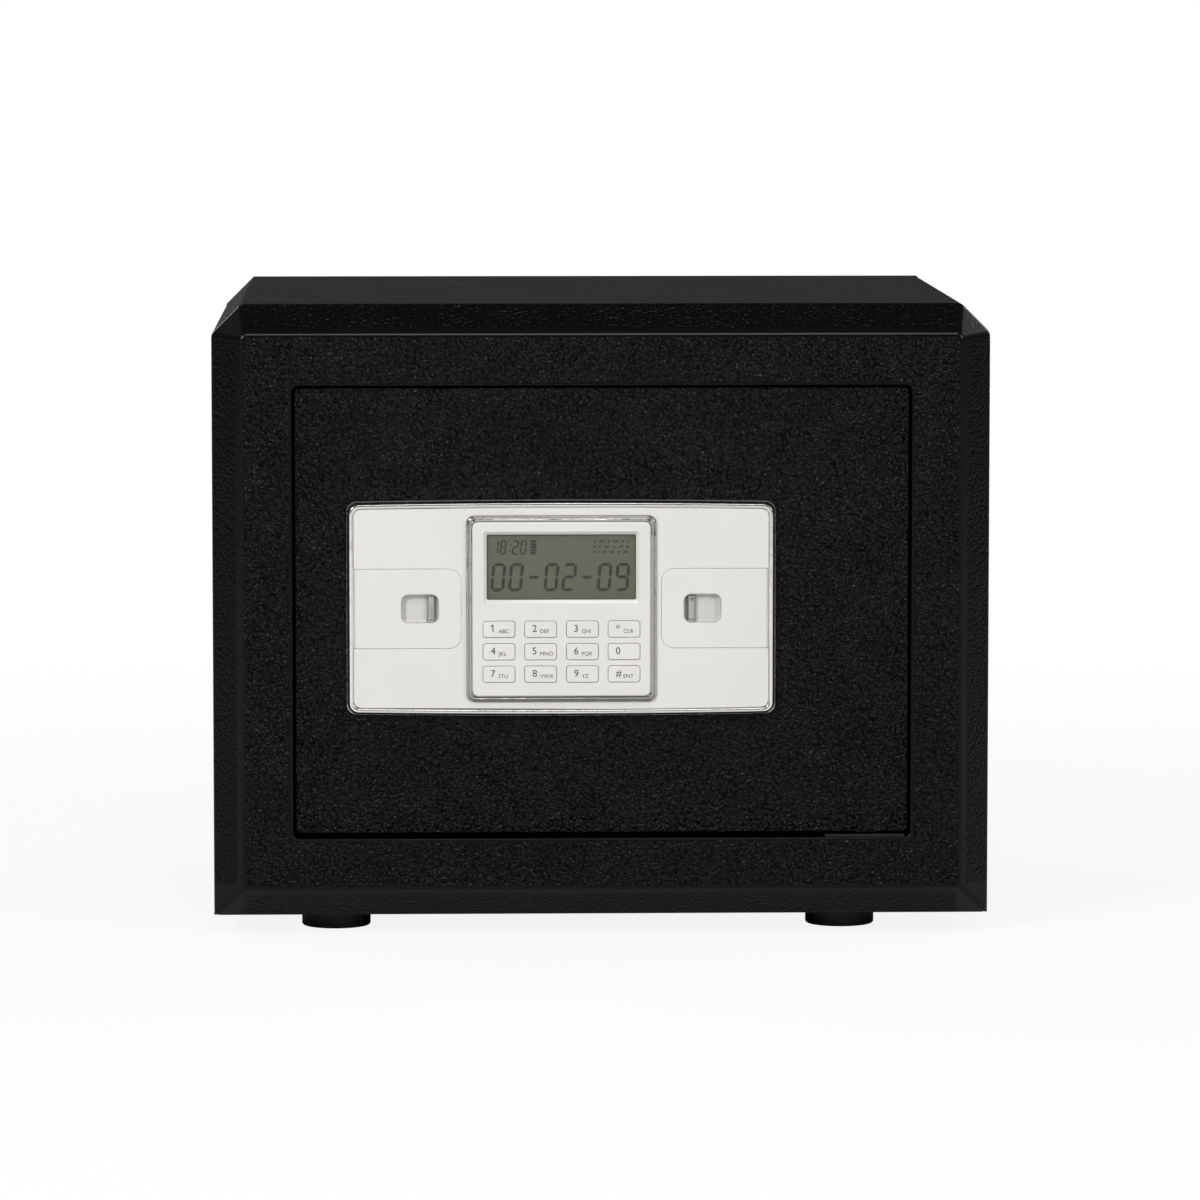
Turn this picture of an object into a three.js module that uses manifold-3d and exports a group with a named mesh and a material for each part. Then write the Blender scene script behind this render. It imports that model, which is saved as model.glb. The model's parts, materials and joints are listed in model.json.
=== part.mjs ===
// Home safe: a bevelled steel body, a pin-hinged door, and an electronic lock that drives two bolts.
//
// Millimetres. +X is to the right as one faces the door, +Y runs back into the safe and +Z is up.
// The origin is the middle of the footprint, at the height of the surface that the feet stand on.
// Inside the model y = 0 is the front face of the body's frame and z = 0 the underside of the body;
// one group at the end lifts it onto its feet and centres it.

import * as THREE from 'three';
import { ConvexGeometry } from 'three/addons/geometries/ConvexGeometry.js';
import { mergeVertices } from 'three/addons/utils/BufferGeometryUtils.js';
import Module from 'manifold-3d';

// Driving dimensions

const CLEARANCE = 0.3; // between a piece and the seat that carries it
const PAST = 1; // how far a cutting tool runs past the face that it cuts
const ROOT = 1; // how far a shape runs into the one that it is joined to

const BODY = { width: 380, height: 300, depth: 300, sheet: 2, bevel: 14.5 };
const FRAME = { sheet: 2.5, ring: 24.5, reveal: 14, corner: 3 };
const FOOT = { radius: 17, height: 10, chamfer: 1.5, spanX: 250, shiftX: -5.5, fromEnd: 52, stem: 4 };
const MAT = { thickness: 3, margin: 8 };
const SHELF = { sheet: 1.5, height: 150, frontY: 75, flange: 20 };
const ANCHOR = { hole: 6.2, spacing: 180, height: 200, head: 8, headDepth: 1.5 };

const DOOR = { thickness: 4, recess: 1.5, gapSide: 2, gapTop: 1.7, gapBottom: 3.3, corner: 2 };
const HINGE = {
  inset: 20, pin: 3, pinProud: 1, lugWall: 2, lugHeight: 22, lugGap: 1, plateHalf: 20, wear: 1.5, backing: 3,
};
const COVER = { sheet: 1.2, depth: 33.7, sideInset: 12, endInset: 8, hingeInset: 12, flange: 6 };

const PANEL = { width: 209, ends: 9.4, bow: 0.9, corner: 5, offsetX: -20, offsetZ: 1.5 };
const RIM = { front: 3.2, land: 0.8, bevel: 2.6, edge: 1.2 };
const FACE = { thickness: 2.8, gap: 0.2 };
const FLAP = {
  fromUnit: 5.5, height: 38.5, thickness: 2, corner: 6, seam: 0.3, knuckle: 1.3, stub: 0.7, stubLength: 1.5,
};
const DISH = {
  fromFree: 10.9, width: 17.9, height: 13.6, depth: 4.3, wall: 0.8, corner: 3.2, bar: 1.9, barInset: 1.15,
};
const POCKET = { margin: 2, hingeMargin: 0.2, floorY: 4, wall: 1.2, corner: 4 };

const UNIT = { side: 5.3, foot: 7, middle: 10.4, head: 6.3, corner: 2.5, front: 7, wall: 1.6, edge: 0.6 };
const BEZEL = { margin: 3, front: 6.4, slope: 2.1, gap: 0.2 };
const DISPLAY = { side: 7.15, height: 31.7, corner: 0.8, slope: 1.6, lap: 1.75, glass: 1, module: 2.4 };
const KEY = {
  columns: 4, rows: 3, pitchX: 20.27, pitchZ: 10.98, width: 15.4, height: 7.85,
  corner: 1.2, edge: 0.35, proud: 0.6, gap: 0.22, flange: 0.9, flangeDepth: 0.6, travel: 0.7,
};
const BOARD = { thickness: 1.2, mat: 0.8, boss: 1.1, bossWidth: 9, bossHeight: 5 };

const BOLT = { radius: 9, centreY: 26, spacing: 110, travel: 18, tipInset: 3, plate: 3, chamfer: 1.5 };
const RACK = {
  pitch: 3.6, addendum: 0.8, dedendum: 1.3, backlash: 0.5, slope: 20, rootFlare: 0.3, end: 2.5,
};
const GEAR = { width: 4, keyTeeth: 20, pinionTeeth: 12, pinionX: 12 };
const CARRIAGE = { clear: 2.7, barWidth: 14, armHeight: 16, keyArm: 9, lowArmZ: -27, lowArmHeight: 14 };
const STUD = { collar: 5, shank: 2.5, head: 4.5, headDepth: 1.7 };
const BARREL = { radius: 9.5, flange: 11.5, flangeDepth: 1.2, nut: 13, nutDepth: 4, bore: 6.3, rearY: 23 };
const PLUG = { radius: 6, keywayWidth: 1.8, keywayHeight: 8.4, keywayDepth: 14, tail: 3.5, rearY: 31 };
const CONTACT = { width: 26, height: 14, frontInset: 1.2, rearY: 9.5, stud: 3, studHeight: 0.5 };
const MOTOR = {
  width: 32, height: 30, gap: 1, can: 8, canLength: 28, shaft: 1.5, shaftDepth: 8, shaftEnd: 1,
};

const CELL = { radius: 7.1, length: 50, gap: 1, nub: 2.7, nubLength: 1.2, count: 4 };
const TRAY = { fromRight: 17.6, fromLow: 9.3, wall: 1.2, side: 1.2, headroom: 1 };
const LID = { thickness: 1.6, lap: 3, corner: 3 };
const RESET = {
  offsetX: 40, offsetZ: 52.7, radius: 4, gap: 0.2, proud: 2, flange: 5.5, flangeDepth: 1.7, inside: 5,
};
const CIRCUIT = {
  fromRight: 35, offsetZ: 47.7, width: 60, height: 44, thickness: 1.6,
  standoff: 4.5, post: 2.5, postInset: 5,
};
const RELAY = { width: 18, height: 14, depth: 10 };
const SOCKET = { width: 8, height: 10, depth: 6, offsetZ: -7 };
const LOOM = { radius: 2, holeRadius: 6, offsetX: 32, offsetZ: 33.7 };

// Places that follow from them

const openingX = BODY.width / 2 - BODY.bevel - FRAME.ring;
const openingLow = BODY.bevel + FRAME.ring;
const openingHigh = BODY.height - openingLow;
const door = {
  x: openingX - DOOR.gapSide,
  low: openingLow + DOOR.gapBottom,
  high: openingHigh - DOOR.gapTop,
  front: DOOR.recess,
  rear: DOOR.recess + DOOR.thickness,
};
const pivot = { x: door.x - HINGE.inset, y: door.rear + CLEARANCE + HINGE.pin };
const cover = {
  left: -door.x + COVER.sideInset,
  right: pivot.x - COVER.hingeInset,
  low: door.low + COVER.endInset,
  high: door.high - COVER.endInset,
  rear: door.rear + COVER.depth,
  inside: door.rear + COVER.depth - COVER.sheet,
};

const unit = {
  width: (KEY.columns - 1) * KEY.pitchX + KEY.width + 2 * UNIT.side,
  height: UNIT.foot + (KEY.rows - 1) * KEY.pitchZ + KEY.height + UNIT.middle + DISPLAY.height + UNIT.head,
};
const panel = {
  x: PANEL.offsetX,
  z: (door.low + door.high) / 2 + PANEL.offsetZ,
  height: unit.height + 2 * PANEL.ends,
  front: -RIM.front,
  floor: -RIM.front + FACE.thickness,
};
const bottomKeysZ = panel.z - unit.height / 2 + UNIT.foot + KEY.height / 2;
const displayZ = panel.z + unit.height / 2 - UNIT.head - DISPLAY.height / 2;
const displayWidth = unit.width - 2 * DISPLAY.side;
const proud = UNIT.front + KEY.proud;

/** A flap's free edge and hinge line, and the pocket behind it, as distances from the panel's middle. */
const flap = {
  free: unit.width / 2 + FLAP.fromUnit,
  hinge: PANEL.width / 2 - RIM.bevel - RIM.land - 2 * CLEARANCE - FLAP.knuckle,
  axisY: panel.front + FLAP.knuckle,
};
const well = {
  width: flap.hinge - POCKET.hingeMargin - flap.free - POCKET.margin,
  height: FLAP.height - 2 * POCKET.margin,
  middle: (flap.hinge - POCKET.hingeMargin + flap.free + POCKET.margin) / 2,
};

const lock = { x: panel.x - well.middle, z: panel.z };
const keyRadius = (GEAR.keyTeeth * RACK.pitch) / (2 * Math.PI);
const pinionRadius = (GEAR.pinionTeeth * RACK.pitch) / (2 * Math.PI);
const pitchLine = lock.z + keyRadius;
const pinion = { x: panel.x + GEAR.pinionX, z: pitchLine - pinionRadius };
const carriageY = { front: BOLT.centreY - BOLT.plate / 2, rear: BOLT.centreY + BOLT.plate / 2 };
const gearY = { front: BOLT.centreY - GEAR.width / 2, rear: BOLT.centreY + GEAR.width / 2 };
const carriageX = lock.x + keyRadius + RACK.addendum + BOLT.travel + CARRIAGE.clear;
const studX = pinion.x - MOTOR.width / 2 - STUD.collar - CARRIAGE.clear;
const boltHeights = [1, -1].map((sign) => panel.z + (sign * BOLT.spacing) / 2);

const trayRight = cover.right - TRAY.fromRight;
const trayLow = cover.low + TRAY.fromLow;
const cellPitch = 2 * CELL.radius + CELL.gap;
const cellY = cover.inside - CELL.radius - TRAY.headroom;
const tray = {
  x: [trayRight - CELL.length - CELL.nubLength - 2 * TRAY.side, trayRight],
  z: [trayLow, trayLow + CELL.count * cellPitch],
  floor: cellY - CELL.radius - CLEARANCE,
};
const reset = { x: panel.x + RESET.offsetX, z: panel.z + RESET.offsetZ };
const circuit = { x: cover.right - CIRCUIT.fromRight, z: panel.z + CIRCUIT.offsetZ };
const loom = { x: panel.x + LOOM.offsetX, z: panel.z + LOOM.offsetZ };

// Solids and cuts

const wasm = await Module();
wasm.setup();

/** A closed three.js geometry as a solid that can be cut and joined. */
function solid(geometry) {
  const bare = geometry.clone();
  for (const name of Object.keys(bare.attributes)) if (name !== 'position') bare.deleteAttribute(name);
  const merged = mergeVertices(bare, 1e-5);
  const corners = merged.index.array;
  const kept = [];
  for (let i = 0; i < corners.length; i += 3) {
    const [a, b, c] = corners.slice(i, i + 3);
    if (a !== b && b !== c && c !== a) kept.push(a, b, c);
  }
  return new wasm.Manifold(new wasm.Mesh({
    numProp: 3,
    vertProperties: Float32Array.from(merged.attributes.position.array),
    triVerts: Uint32Array.from(kept),
  }));
}

/** A solid as a geometry with flat shading. */
function geometryOf(shape) {
  const { vertProperties, triVerts } = shape.getMesh();
  const geometry = new THREE.BufferGeometry();
  geometry.setAttribute('position', new THREE.BufferAttribute(vertProperties, 3));
  geometry.setIndex(new THREE.BufferAttribute(triVerts, 1));
  geometry.computeVertexNormals();
  return geometry;
}

const join = (...shapes) => shapes.reduce((whole, next) => whole.add(next));
const cut = (shape, ...tools) => tools.reduce((rest, tool) => rest.subtract(tool), shape);

/** A box between two corners. */
function block([x0, x1], [y0, y1], [z0, z1]) {
  const geometry = new THREE.BoxGeometry(x1 - x0, y1 - y0, z1 - z0);
  return solid(geometry.translate((x0 + x1) / 2, (y0 + y1) / 2, (z0 + z1) / 2));
}

/** Rows of [radius, place along the axis] turned about the x, y or z axis, then moved to a centre. */
function turned(axis, rows, [x, y, z], segments = 24) {
  const geometry = new THREE.LatheGeometry(rows.map(([r, h]) => new THREE.Vector2(r, h)), segments);
  if (axis === 'x') geometry.rotateZ(-Math.PI / 2);
  if (axis === 'z') geometry.rotateX(Math.PI / 2);
  return solid(geometry.translate(x, y, z));
}

/** A plain round bar along an axis. */
const bar = (axis, radius, from, to, centre, segments) =>
  turned(axis, [[0, from], [radius, from], [radius, to], [0, to]], centre, segments);

/** Points of a rectangle with round corners and, where bow is given, a top and bottom that swell. */
function rounded(width, height, corner, [x, z], { bow = 0, steps = 2, bowSteps = 8 } = {}) {
  const points = [];
  const centres = [[1, -1, -90], [1, 1, 0], [-1, 1, 90], [-1, -1, 180]];
  for (const [sideX, sideZ, start] of centres) {
    const cx = sideX * (width / 2 - corner);
    const cz = sideZ * (height / 2 - corner);
    for (let i = 0; i <= steps; i += 1) {
      const angle = THREE.MathUtils.degToRad(start + (90 * i) / steps);
      points.push(new THREE.Vector2(x + cx + corner * Math.cos(angle), z + cz + corner * Math.sin(angle)));
    }
    if (bow > 0 && sideX === sideZ) {
      for (let i = 1; i < bowSteps; i += 1) {
        const along = 1 - (2 * i) / bowSteps;
        const swell = height / 2 + bow * (1 - along * along);
        points.push(new THREE.Vector2(x + along * cx, z + sideZ * swell));
      }
    }
  }
  return points;
}

/** Outlines of equal length in the door's plane, skinned from front to back as [points, y] rows. */
function loft(...rows) {
  const count = rows[0][0].length;
  const position = rows.flatMap(([points, y]) => points.flatMap((p) => [p.x, y, p.y]));
  const index = [];
  for (const [a, b, c] of THREE.ShapeUtils.triangulateShape(rows[0][0], [])) index.push(a, b, c);
  for (let row = 0; row < rows.length - 1; row += 1) {
    for (let i = 0; i < count; i += 1) {
      const a = row * count + i;
      const b = row * count + ((i + 1) % count);
      index.push(a, a + count, b + count, a, b + count, b);
    }
  }
  const last = (rows.length - 1) * count;
  for (const [a, b, c] of THREE.ShapeUtils.triangulateShape(rows.at(-1)[0], [])) {
    index.push(last + a, last + c, last + b);
  }
  const geometry = new THREE.BufferGeometry();
  geometry.setAttribute('position', new THREE.Float32BufferAttribute(position, 3));
  geometry.setIndex(index);
  return solid(geometry);
}

/** An outline in the door's plane carried straight back from one depth to another. */
const slab = (points, front, rear) => loft([points, front], [points, rear]);

/** An outline given as [x, z] pairs, turned to run anticlockwise as seen from the front. */
function outline(pairs) {
  const points = pairs.map(([x, z]) => new THREE.Vector2(x, z));
  return THREE.ShapeUtils.isClockWise(points) ? points.reverse() : points;
}

/** A range of a given width about a middle. */
const about = (middle, width) => [middle - width / 2, middle + width / 2];

// Finishes

const finish = (color, roughness, metalness = 0) =>
  new THREE.MeshStandardMaterial({ color, roughness, metalness });
const finishes = {
  powderCoat: () => finish(0x161616, 0.6),
  zincPlate: () => finish(0xb9bcc0, 0.35, 0.9),
  brightSteel: () => finish(0xc9ccd0, 0.25, 1),
  blackZinc: () => finish(0x303032, 0.5, 0.8),
  chrome: () => finish(0xd9dadb, 0.12, 1),
  pearlSilver: () => finish(0xe4e2dc, 0.4, 0.1),
  rubber: () => finish(0x1b1b1b, 0.85),
  felt: () => finish(0x2b2b2d, 0.95),
  glass: () => finish(0x9aa09a, 0.05),
  liquidCrystal: () => finish(0x65685c, 0.3),
  circuit: () => finish(0x1f5a35, 0.5),
  blackPlastic: () => finish(0x232325, 0.5),
  brass: () => finish(0xb58d3f, 0.3, 0.9),
  cellWrap: () => finish(0x3c5a86, 0.4),
  redPlastic: () => finish(0xa32020, 0.45),
};

const model = new THREE.Group();

/** Names a solid as one piece of the safe. */
function piece(name, shape, material) {
  const mesh = new THREE.Mesh(geometryOf(shape), finishes[material]());
  mesh.name = name;
  model.add(mesh);
}

// Body

/** The body's section from the lower left over the bevelled top to the lower right. */
function hood(inset) {
  const x = BODY.width / 2 - inset;
  const corner = BODY.bevel + inset * (Math.SQRT2 - 1);
  const side = BODY.height - corner;
  const top = BODY.width / 2 - corner;
  return [[-x, 0], [-x, side], [-top, BODY.height - inset], [top, BODY.height - inset], [x, side], [x, 0]];
}

/** The bevelled front: the hull of a flat rectangle and the body's full section behind it. */
function bevelledFront(inset, rear) {
  const skew = BODY.bevel + inset * (Math.SQRT2 - 1);
  const spread = inset * Math.SQRT2;
  const points = [];
  for (const x of [-1, 1]) {
    for (const z of [skew, BODY.height - skew]) {
      points.push(new THREE.Vector3(x * (BODY.width / 2 - skew), inset, z));
    }
    for (const y of [BODY.bevel, rear]) {
      points.push(new THREE.Vector3(x * (BODY.width / 2 - spread), y, spread));
      points.push(new THREE.Vector3(x * (BODY.width / 2 - spread), y, BODY.height - BODY.bevel));
      points.push(new THREE.Vector3(x * (BODY.width / 2 - BODY.bevel), y, BODY.height - spread));
    }
  }
  return solid(new ConvexGeometry(points));
}

/** The door opening, grown on every side, as an outline. */
const opening = (grow) => rounded(
  2 * (openingX + grow), openingHigh - openingLow + 2 * grow, FRAME.corner + grow,
  [0, (openingLow + openingHigh) / 2],
);

/** The clearance holes of the two hinge pins, each through the frame's return and its plate. */
const hingeHoles = [
  [openingHigh - PAST, openingHigh + FRAME.sheet + HINGE.backing + PAST],
  [openingLow - FRAME.sheet - PAST, openingLow + HINGE.wear + PAST],
].map(([low, high]) => bar('z', HINGE.pin + CLEARANCE, low, high, [pivot.x, pivot.y, 0], 20));

function buildBody() {
  const back = BODY.depth - BODY.sheet;
  const wrapper = outline([...hood(0), ...hood(BODY.sheet).reverse()]);
  piece('body_wrapper', slab(wrapper, BODY.bevel, back), 'powderCoat');

  const frame = join(
    cut(bevelledFront(0, BODY.bevel), bevelledFront(FRAME.sheet, BODY.bevel + PAST)),
    slab(opening(FRAME.sheet), FRAME.sheet / 2, FRAME.reveal),
  );
  piece('front_frame', cut(frame, slab(opening(0), -PAST, BODY.bevel + PAST), ...hingeHoles), 'powderCoat');

  const anchors = [-1, 1].map((side) => [(side * ANCHOR.spacing) / 2, 0, ANCHOR.height]);
  const anchorHoles = anchors.map((at) => bar('y', ANCHOR.hole, back - PAST, BODY.depth + PAST, at));
  piece('back_plate', cut(slab(outline(hood(0)), back, BODY.depth), ...anchorHoles), 'powderCoat');
  anchors.forEach((at, i) => {
    const stem = ANCHOR.hole - CLEARANCE;
    const head = back - ANCHOR.headDepth;
    const rows = [
      [0, head], [ANCHOR.head, head], [ANCHOR.head, back], [stem, back], [stem, BODY.depth], [0, BODY.depth],
    ];
    piece(`anchor_plug_${i + 1}`, turned('y', rows, at), 'rubber');
  });

  const inside = BODY.width / 2 - BODY.sheet;
  const feet = [];
  for (const [end, y] of [['front', FOOT.fromEnd], ['rear', BODY.depth - FOOT.fromEnd]]) {
    for (const [side, sign] of [['left', -1], ['right', 1]]) {
      feet.push([`foot_${end}_${side}`, [FOOT.shiftX + (sign * FOOT.spanX) / 2, y, 0]]);
    }
  }
  const stemHoles = feet.map(([, at]) => bar('z', FOOT.stem + CLEARANCE, -PAST, BODY.sheet + PAST, at, 16));
  const floor = block([-inside, inside], [BODY.bevel, back], [0, BODY.sheet]);
  piece('base_plate', cut(floor, ...stemHoles), 'powderCoat');
  for (const [name, at] of feet) {
    const rows = [
      [0, -FOOT.height], [FOOT.radius - FOOT.chamfer, -FOOT.height],
      [FOOT.radius, -FOOT.height + FOOT.chamfer], [FOOT.radius, 0],
      [FOOT.stem, 0], [FOOT.stem, BODY.sheet], [0, BODY.sheet],
    ];
    piece(name, turned('z', rows, at, 28), 'rubber');
  }

  const matX = inside - MAT.margin;
  const matY = [BODY.bevel + MAT.margin, back - MAT.margin];
  piece('floor_mat', block([-matX, matX], matY, [BODY.sheet, BODY.sheet + MAT.thickness]), 'felt');

  const shelfY = [SHELF.frontY, back - CLEARANCE];
  const flangeZ = [SHELF.height - SHELF.flange, SHELF.height];
  const shelf = join(
    block([-inside, inside], shelfY, [SHELF.height - SHELF.sheet, SHELF.height]),
    block([-inside, -inside + SHELF.sheet], shelfY, flangeZ),
    block([inside - SHELF.sheet, inside], shelfY, flangeZ),
    block([-inside, inside], [SHELF.frontY, SHELF.frontY + SHELF.sheet], flangeZ),
  );
  piece('shelf', shelf, 'powderCoat');
}

// Hinge: a pin at each end of the door, behind its hinge side, each in a hole of the frame's return

function buildHinge() {
  const plateX = [pivot.x - HINGE.plateHalf, openingX - FRAME.corner];
  const upper = openingHigh + FRAME.sheet;
  const backing = block(plateX, [FRAME.sheet + CLEARANCE, FRAME.reveal], [upper, upper + HINGE.backing]);
  piece('hinge_plate_upper', cut(backing, hingeHoles[0]), 'blackZinc');
  const wearTop = openingLow + HINGE.wear;
  const wear = block(plateX, [DOOR.recess, FRAME.reveal], [openingLow, wearTop]);
  piece('hinge_plate_lower', cut(wear, hingeHoles[1]), 'blackZinc');

  const at = [pivot.x, pivot.y, 0];
  const lugX = about(pivot.x, 2 * (HINGE.pin + HINGE.lugWall));
  const lugY = [door.rear, pivot.y + HINGE.pin + HINGE.lugWall];
  const upperLug = door.high - HINGE.lugGap;
  const lowerLug = wearTop + CLEARANCE;
  const upperEnd = upper + HINGE.backing + HINGE.pinProud;
  const lowerEnd = openingLow - FRAME.sheet - HINGE.pinProud;
  piece('hinge_pin_upper', join(
    block(lugX, lugY, [door.high - HINGE.lugHeight, upperLug]),
    bar('z', HINGE.pin, upperLug - ROOT, upperEnd, at, 20),
  ), 'blackZinc');
  piece('hinge_pin_lower', join(
    block(lugX, lugY, [lowerLug, door.low + HINGE.lugHeight]),
    bar('z', HINGE.pin, lowerEnd, lowerLug + ROOT, at, 20),
  ), 'blackZinc');
}

// Door plate and the cover over the lock work behind it

/** One of the two pockets behind the flaps, grown on every side, as an outline. */
const pocket = (side, grow) => rounded(
  well.width + 2 * grow, well.height + 2 * grow, POCKET.corner + grow,
  [panel.x + side * well.middle, panel.z],
);

const loomHole = bar('y', LOOM.holeRadius, panel.front, cover.rear, [loom.x, 0, loom.z], 20);

function buildDoor() {
  const plate = rounded(2 * door.x, door.high - door.low, DOOR.corner, [0, (door.low + door.high) / 2]);
  const windows = [-1, 1].map((side) =>
    slab(pocket(side, POCKET.wall + CLEARANCE), door.front - PAST, door.rear + PAST));
  piece('door_plate', cut(slab(plate, door.front, door.rear), ...windows, loomHole), 'powderCoat');

  const { left, right, low, high, rear, inside } = cover;
  const lip = COVER.flange;
  const hat = join(
    block([left, right], [door.rear, rear], [low, high]),
    block([left - lip, right + lip], [door.rear, door.rear + COVER.sheet], [low - lip, high + lip]),
  );
  const hollow = block(
    [left + COVER.sheet, right - COVER.sheet], [door.rear - PAST, inside],
    [low + COVER.sheet, high - COVER.sheet],
  );
  const boltHoles = boltHeights.map((z) =>
    bar('x', BOLT.radius + CLEARANCE, left - PAST, left + COVER.sheet + PAST, [0, BOLT.centreY, z]));
  const window = block(tray.x, [inside - PAST, rear + PAST], tray.z);
  const buttonHole = bar('y', RESET.radius + RESET.gap, inside - PAST, rear + PAST, [reset.x, 0, reset.z]);
  piece('door_back_cover', cut(hat, hollow, ...boltHoles, window, buttonHole), 'powderCoat');
}

// Lock panel: a plated tray, a face sheet laid in it, and a hinged flap over each pocket

/** The panel's outline, drawn in on every side. */
const panelOutline = (inset) => rounded(
  PANEL.width - 2 * inset, panel.height - 2 * inset, PANEL.corner - inset / 2,
  [panel.x, panel.z], { bow: PANEL.bow },
);

/** The hinge line of a flap, as a bar that stands past both ends of it. */
function flapStubs(side, radius, reach) {
  const half = FLAP.height / 2 + reach;
  return bar('z', radius, -half, half, [panel.x + side * flap.hinge, flap.axisY, panel.z], 12);
}

/** The finger dish of a flap, grown by a wall, from one depth to another. */
const dishX = flap.free + DISH.fromFree + DISH.width / 2;
const dish = (side, grow, front, rear) => slab(
  rounded(
    DISH.width + 2 * grow, DISH.height + 2 * grow, DISH.corner + grow,
    [panel.x + side * dishX, panel.z],
  ),
  front, rear,
);

/** A shape with round corners at its free end and square ones at its hinge end, or past it. */
function flapShape(side, grow, hinge, front, rear) {
  const from = panel.x + side * (flap.free - grow);
  const to = panel.x + side * hinge;
  const middle = (from + to) / 2;
  const height = FLAP.height + 2 * grow;
  const end = rounded(Math.abs(to - from), height, FLAP.corner + grow, [middle, panel.z], { steps: 5 });
  const square = block([Math.min(middle, to), Math.max(middle, to)], [front, rear], about(panel.z, height));
  return join(slab(end, front, rear), square);
}

function buildFlap(side) {
  const rear = panel.front + FLAP.thickness;
  const floor = panel.front + DISH.depth;
  const shell = join(
    flapShape(side, 0, flap.hinge, panel.front, rear),
    flapStubs(side, FLAP.knuckle, 0), flapStubs(side, FLAP.stub, FLAP.stubLength),
    dish(side, DISH.wall, rear - ROOT, floor + DISH.wall),
  );
  const barX = panel.x + side * (dishX - DISH.width / 2 + DISH.barInset + DISH.bar);
  const barHalf = (DISH.height + DISH.wall) / 2;
  const fingerBar = bar('z', DISH.bar, -barHalf, barHalf, [barX, floor - DISH.bar / 2, panel.z], 16);
  return join(cut(shell, dish(side, 0, panel.front - PAST, floor)), fingerBar);
}

function buildPanel() {
  const base = join(
    loft(
      [panelOutline(RIM.bevel), panel.front], [panelOutline(0), door.front - RIM.edge],
      [panelOutline(0), door.front],
    ),
    ...[-1, 1].map((side) => slab(pocket(side, POCKET.wall), door.front - ROOT, POCKET.floorY + POCKET.wall)),
  );
  const seat = slab(panelOutline(RIM.bevel + RIM.land), panel.front - PAST, panel.floor);
  const pockets = [-1, 1].map((side) => slab(pocket(side, 0), panel.front, POCKET.floorY));
  const through = [POCKET.floorY - PAST, POCKET.floorY + POCKET.wall + PAST];
  const barrelHole = bar('y', BARREL.radius + CLEARANCE, ...through, [lock.x, 0, lock.z]);
  const contactHole = block(
    about(panel.x + well.middle, CONTACT.width + 2 * CLEARANCE), through,
    about(panel.z, CONTACT.height + 2 * CLEARANCE),
  );
  piece('panel_base', cut(base, seat, ...pockets, barrelHole, contactHole, loomHole), 'chrome');

  const depth = [panel.front - PAST, panel.floor + PAST];
  const notches = [-1, 1].map((side) => flapShape(side, FLAP.seam, PANEL.width / 2, ...depth));
  const unitWindow = slab(
    rounded(unit.width + BEZEL.gap, unit.height + BEZEL.gap, UNIT.corner, [panel.x, panel.z]), ...depth);
  const sockets = [-1, 1].map((side) => flapStubs(side, FLAP.stub + CLEARANCE, FLAP.stubLength + CLEARANCE));
  const sheet = slab(panelOutline(RIM.bevel + RIM.land + FACE.gap), panel.front, panel.floor);
  piece('panel_face', cut(sheet, ...notches, unitWindow, ...sockets), 'pearlSilver');

  piece('flap_left', buildFlap(-1), 'pearlSilver');
  piece('flap_right', buildFlap(1), 'pearlSilver');
}

// Keypad unit in the middle of the panel

/** The keypad unit's outline, grown on every side. */
const unitOutline = (grow) => rounded(
  unit.width + 2 * grow, unit.height + 2 * grow, UNIT.corner + grow / 2, [panel.x, panel.z]);

/** The display window's outline, grown on every side. */
const screen = (grow) => rounded(
  displayWidth + 2 * grow, DISPLAY.height + 2 * grow, DISPLAY.corner, [panel.x, displayZ]);

/** A key's outline, grown on every side. */
const keyOutline = (key, grow) => rounded(
  KEY.width + 2 * grow, KEY.height + 2 * grow, KEY.corner + grow / 2, [key.x, key.z]);

/** Every key's column, row and centre, from the upper left. */
const keys = Array.from({ length: KEY.rows * KEY.columns }, (_, i) => {
  const row = Math.floor(i / KEY.columns);
  const column = i % KEY.columns;
  return {
    row, column,
    x: panel.x + (column - (KEY.columns - 1) / 2) * KEY.pitchX,
    z: bottomKeysZ + (KEY.rows - 1 - row) * KEY.pitchZ,
  };
});

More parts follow.
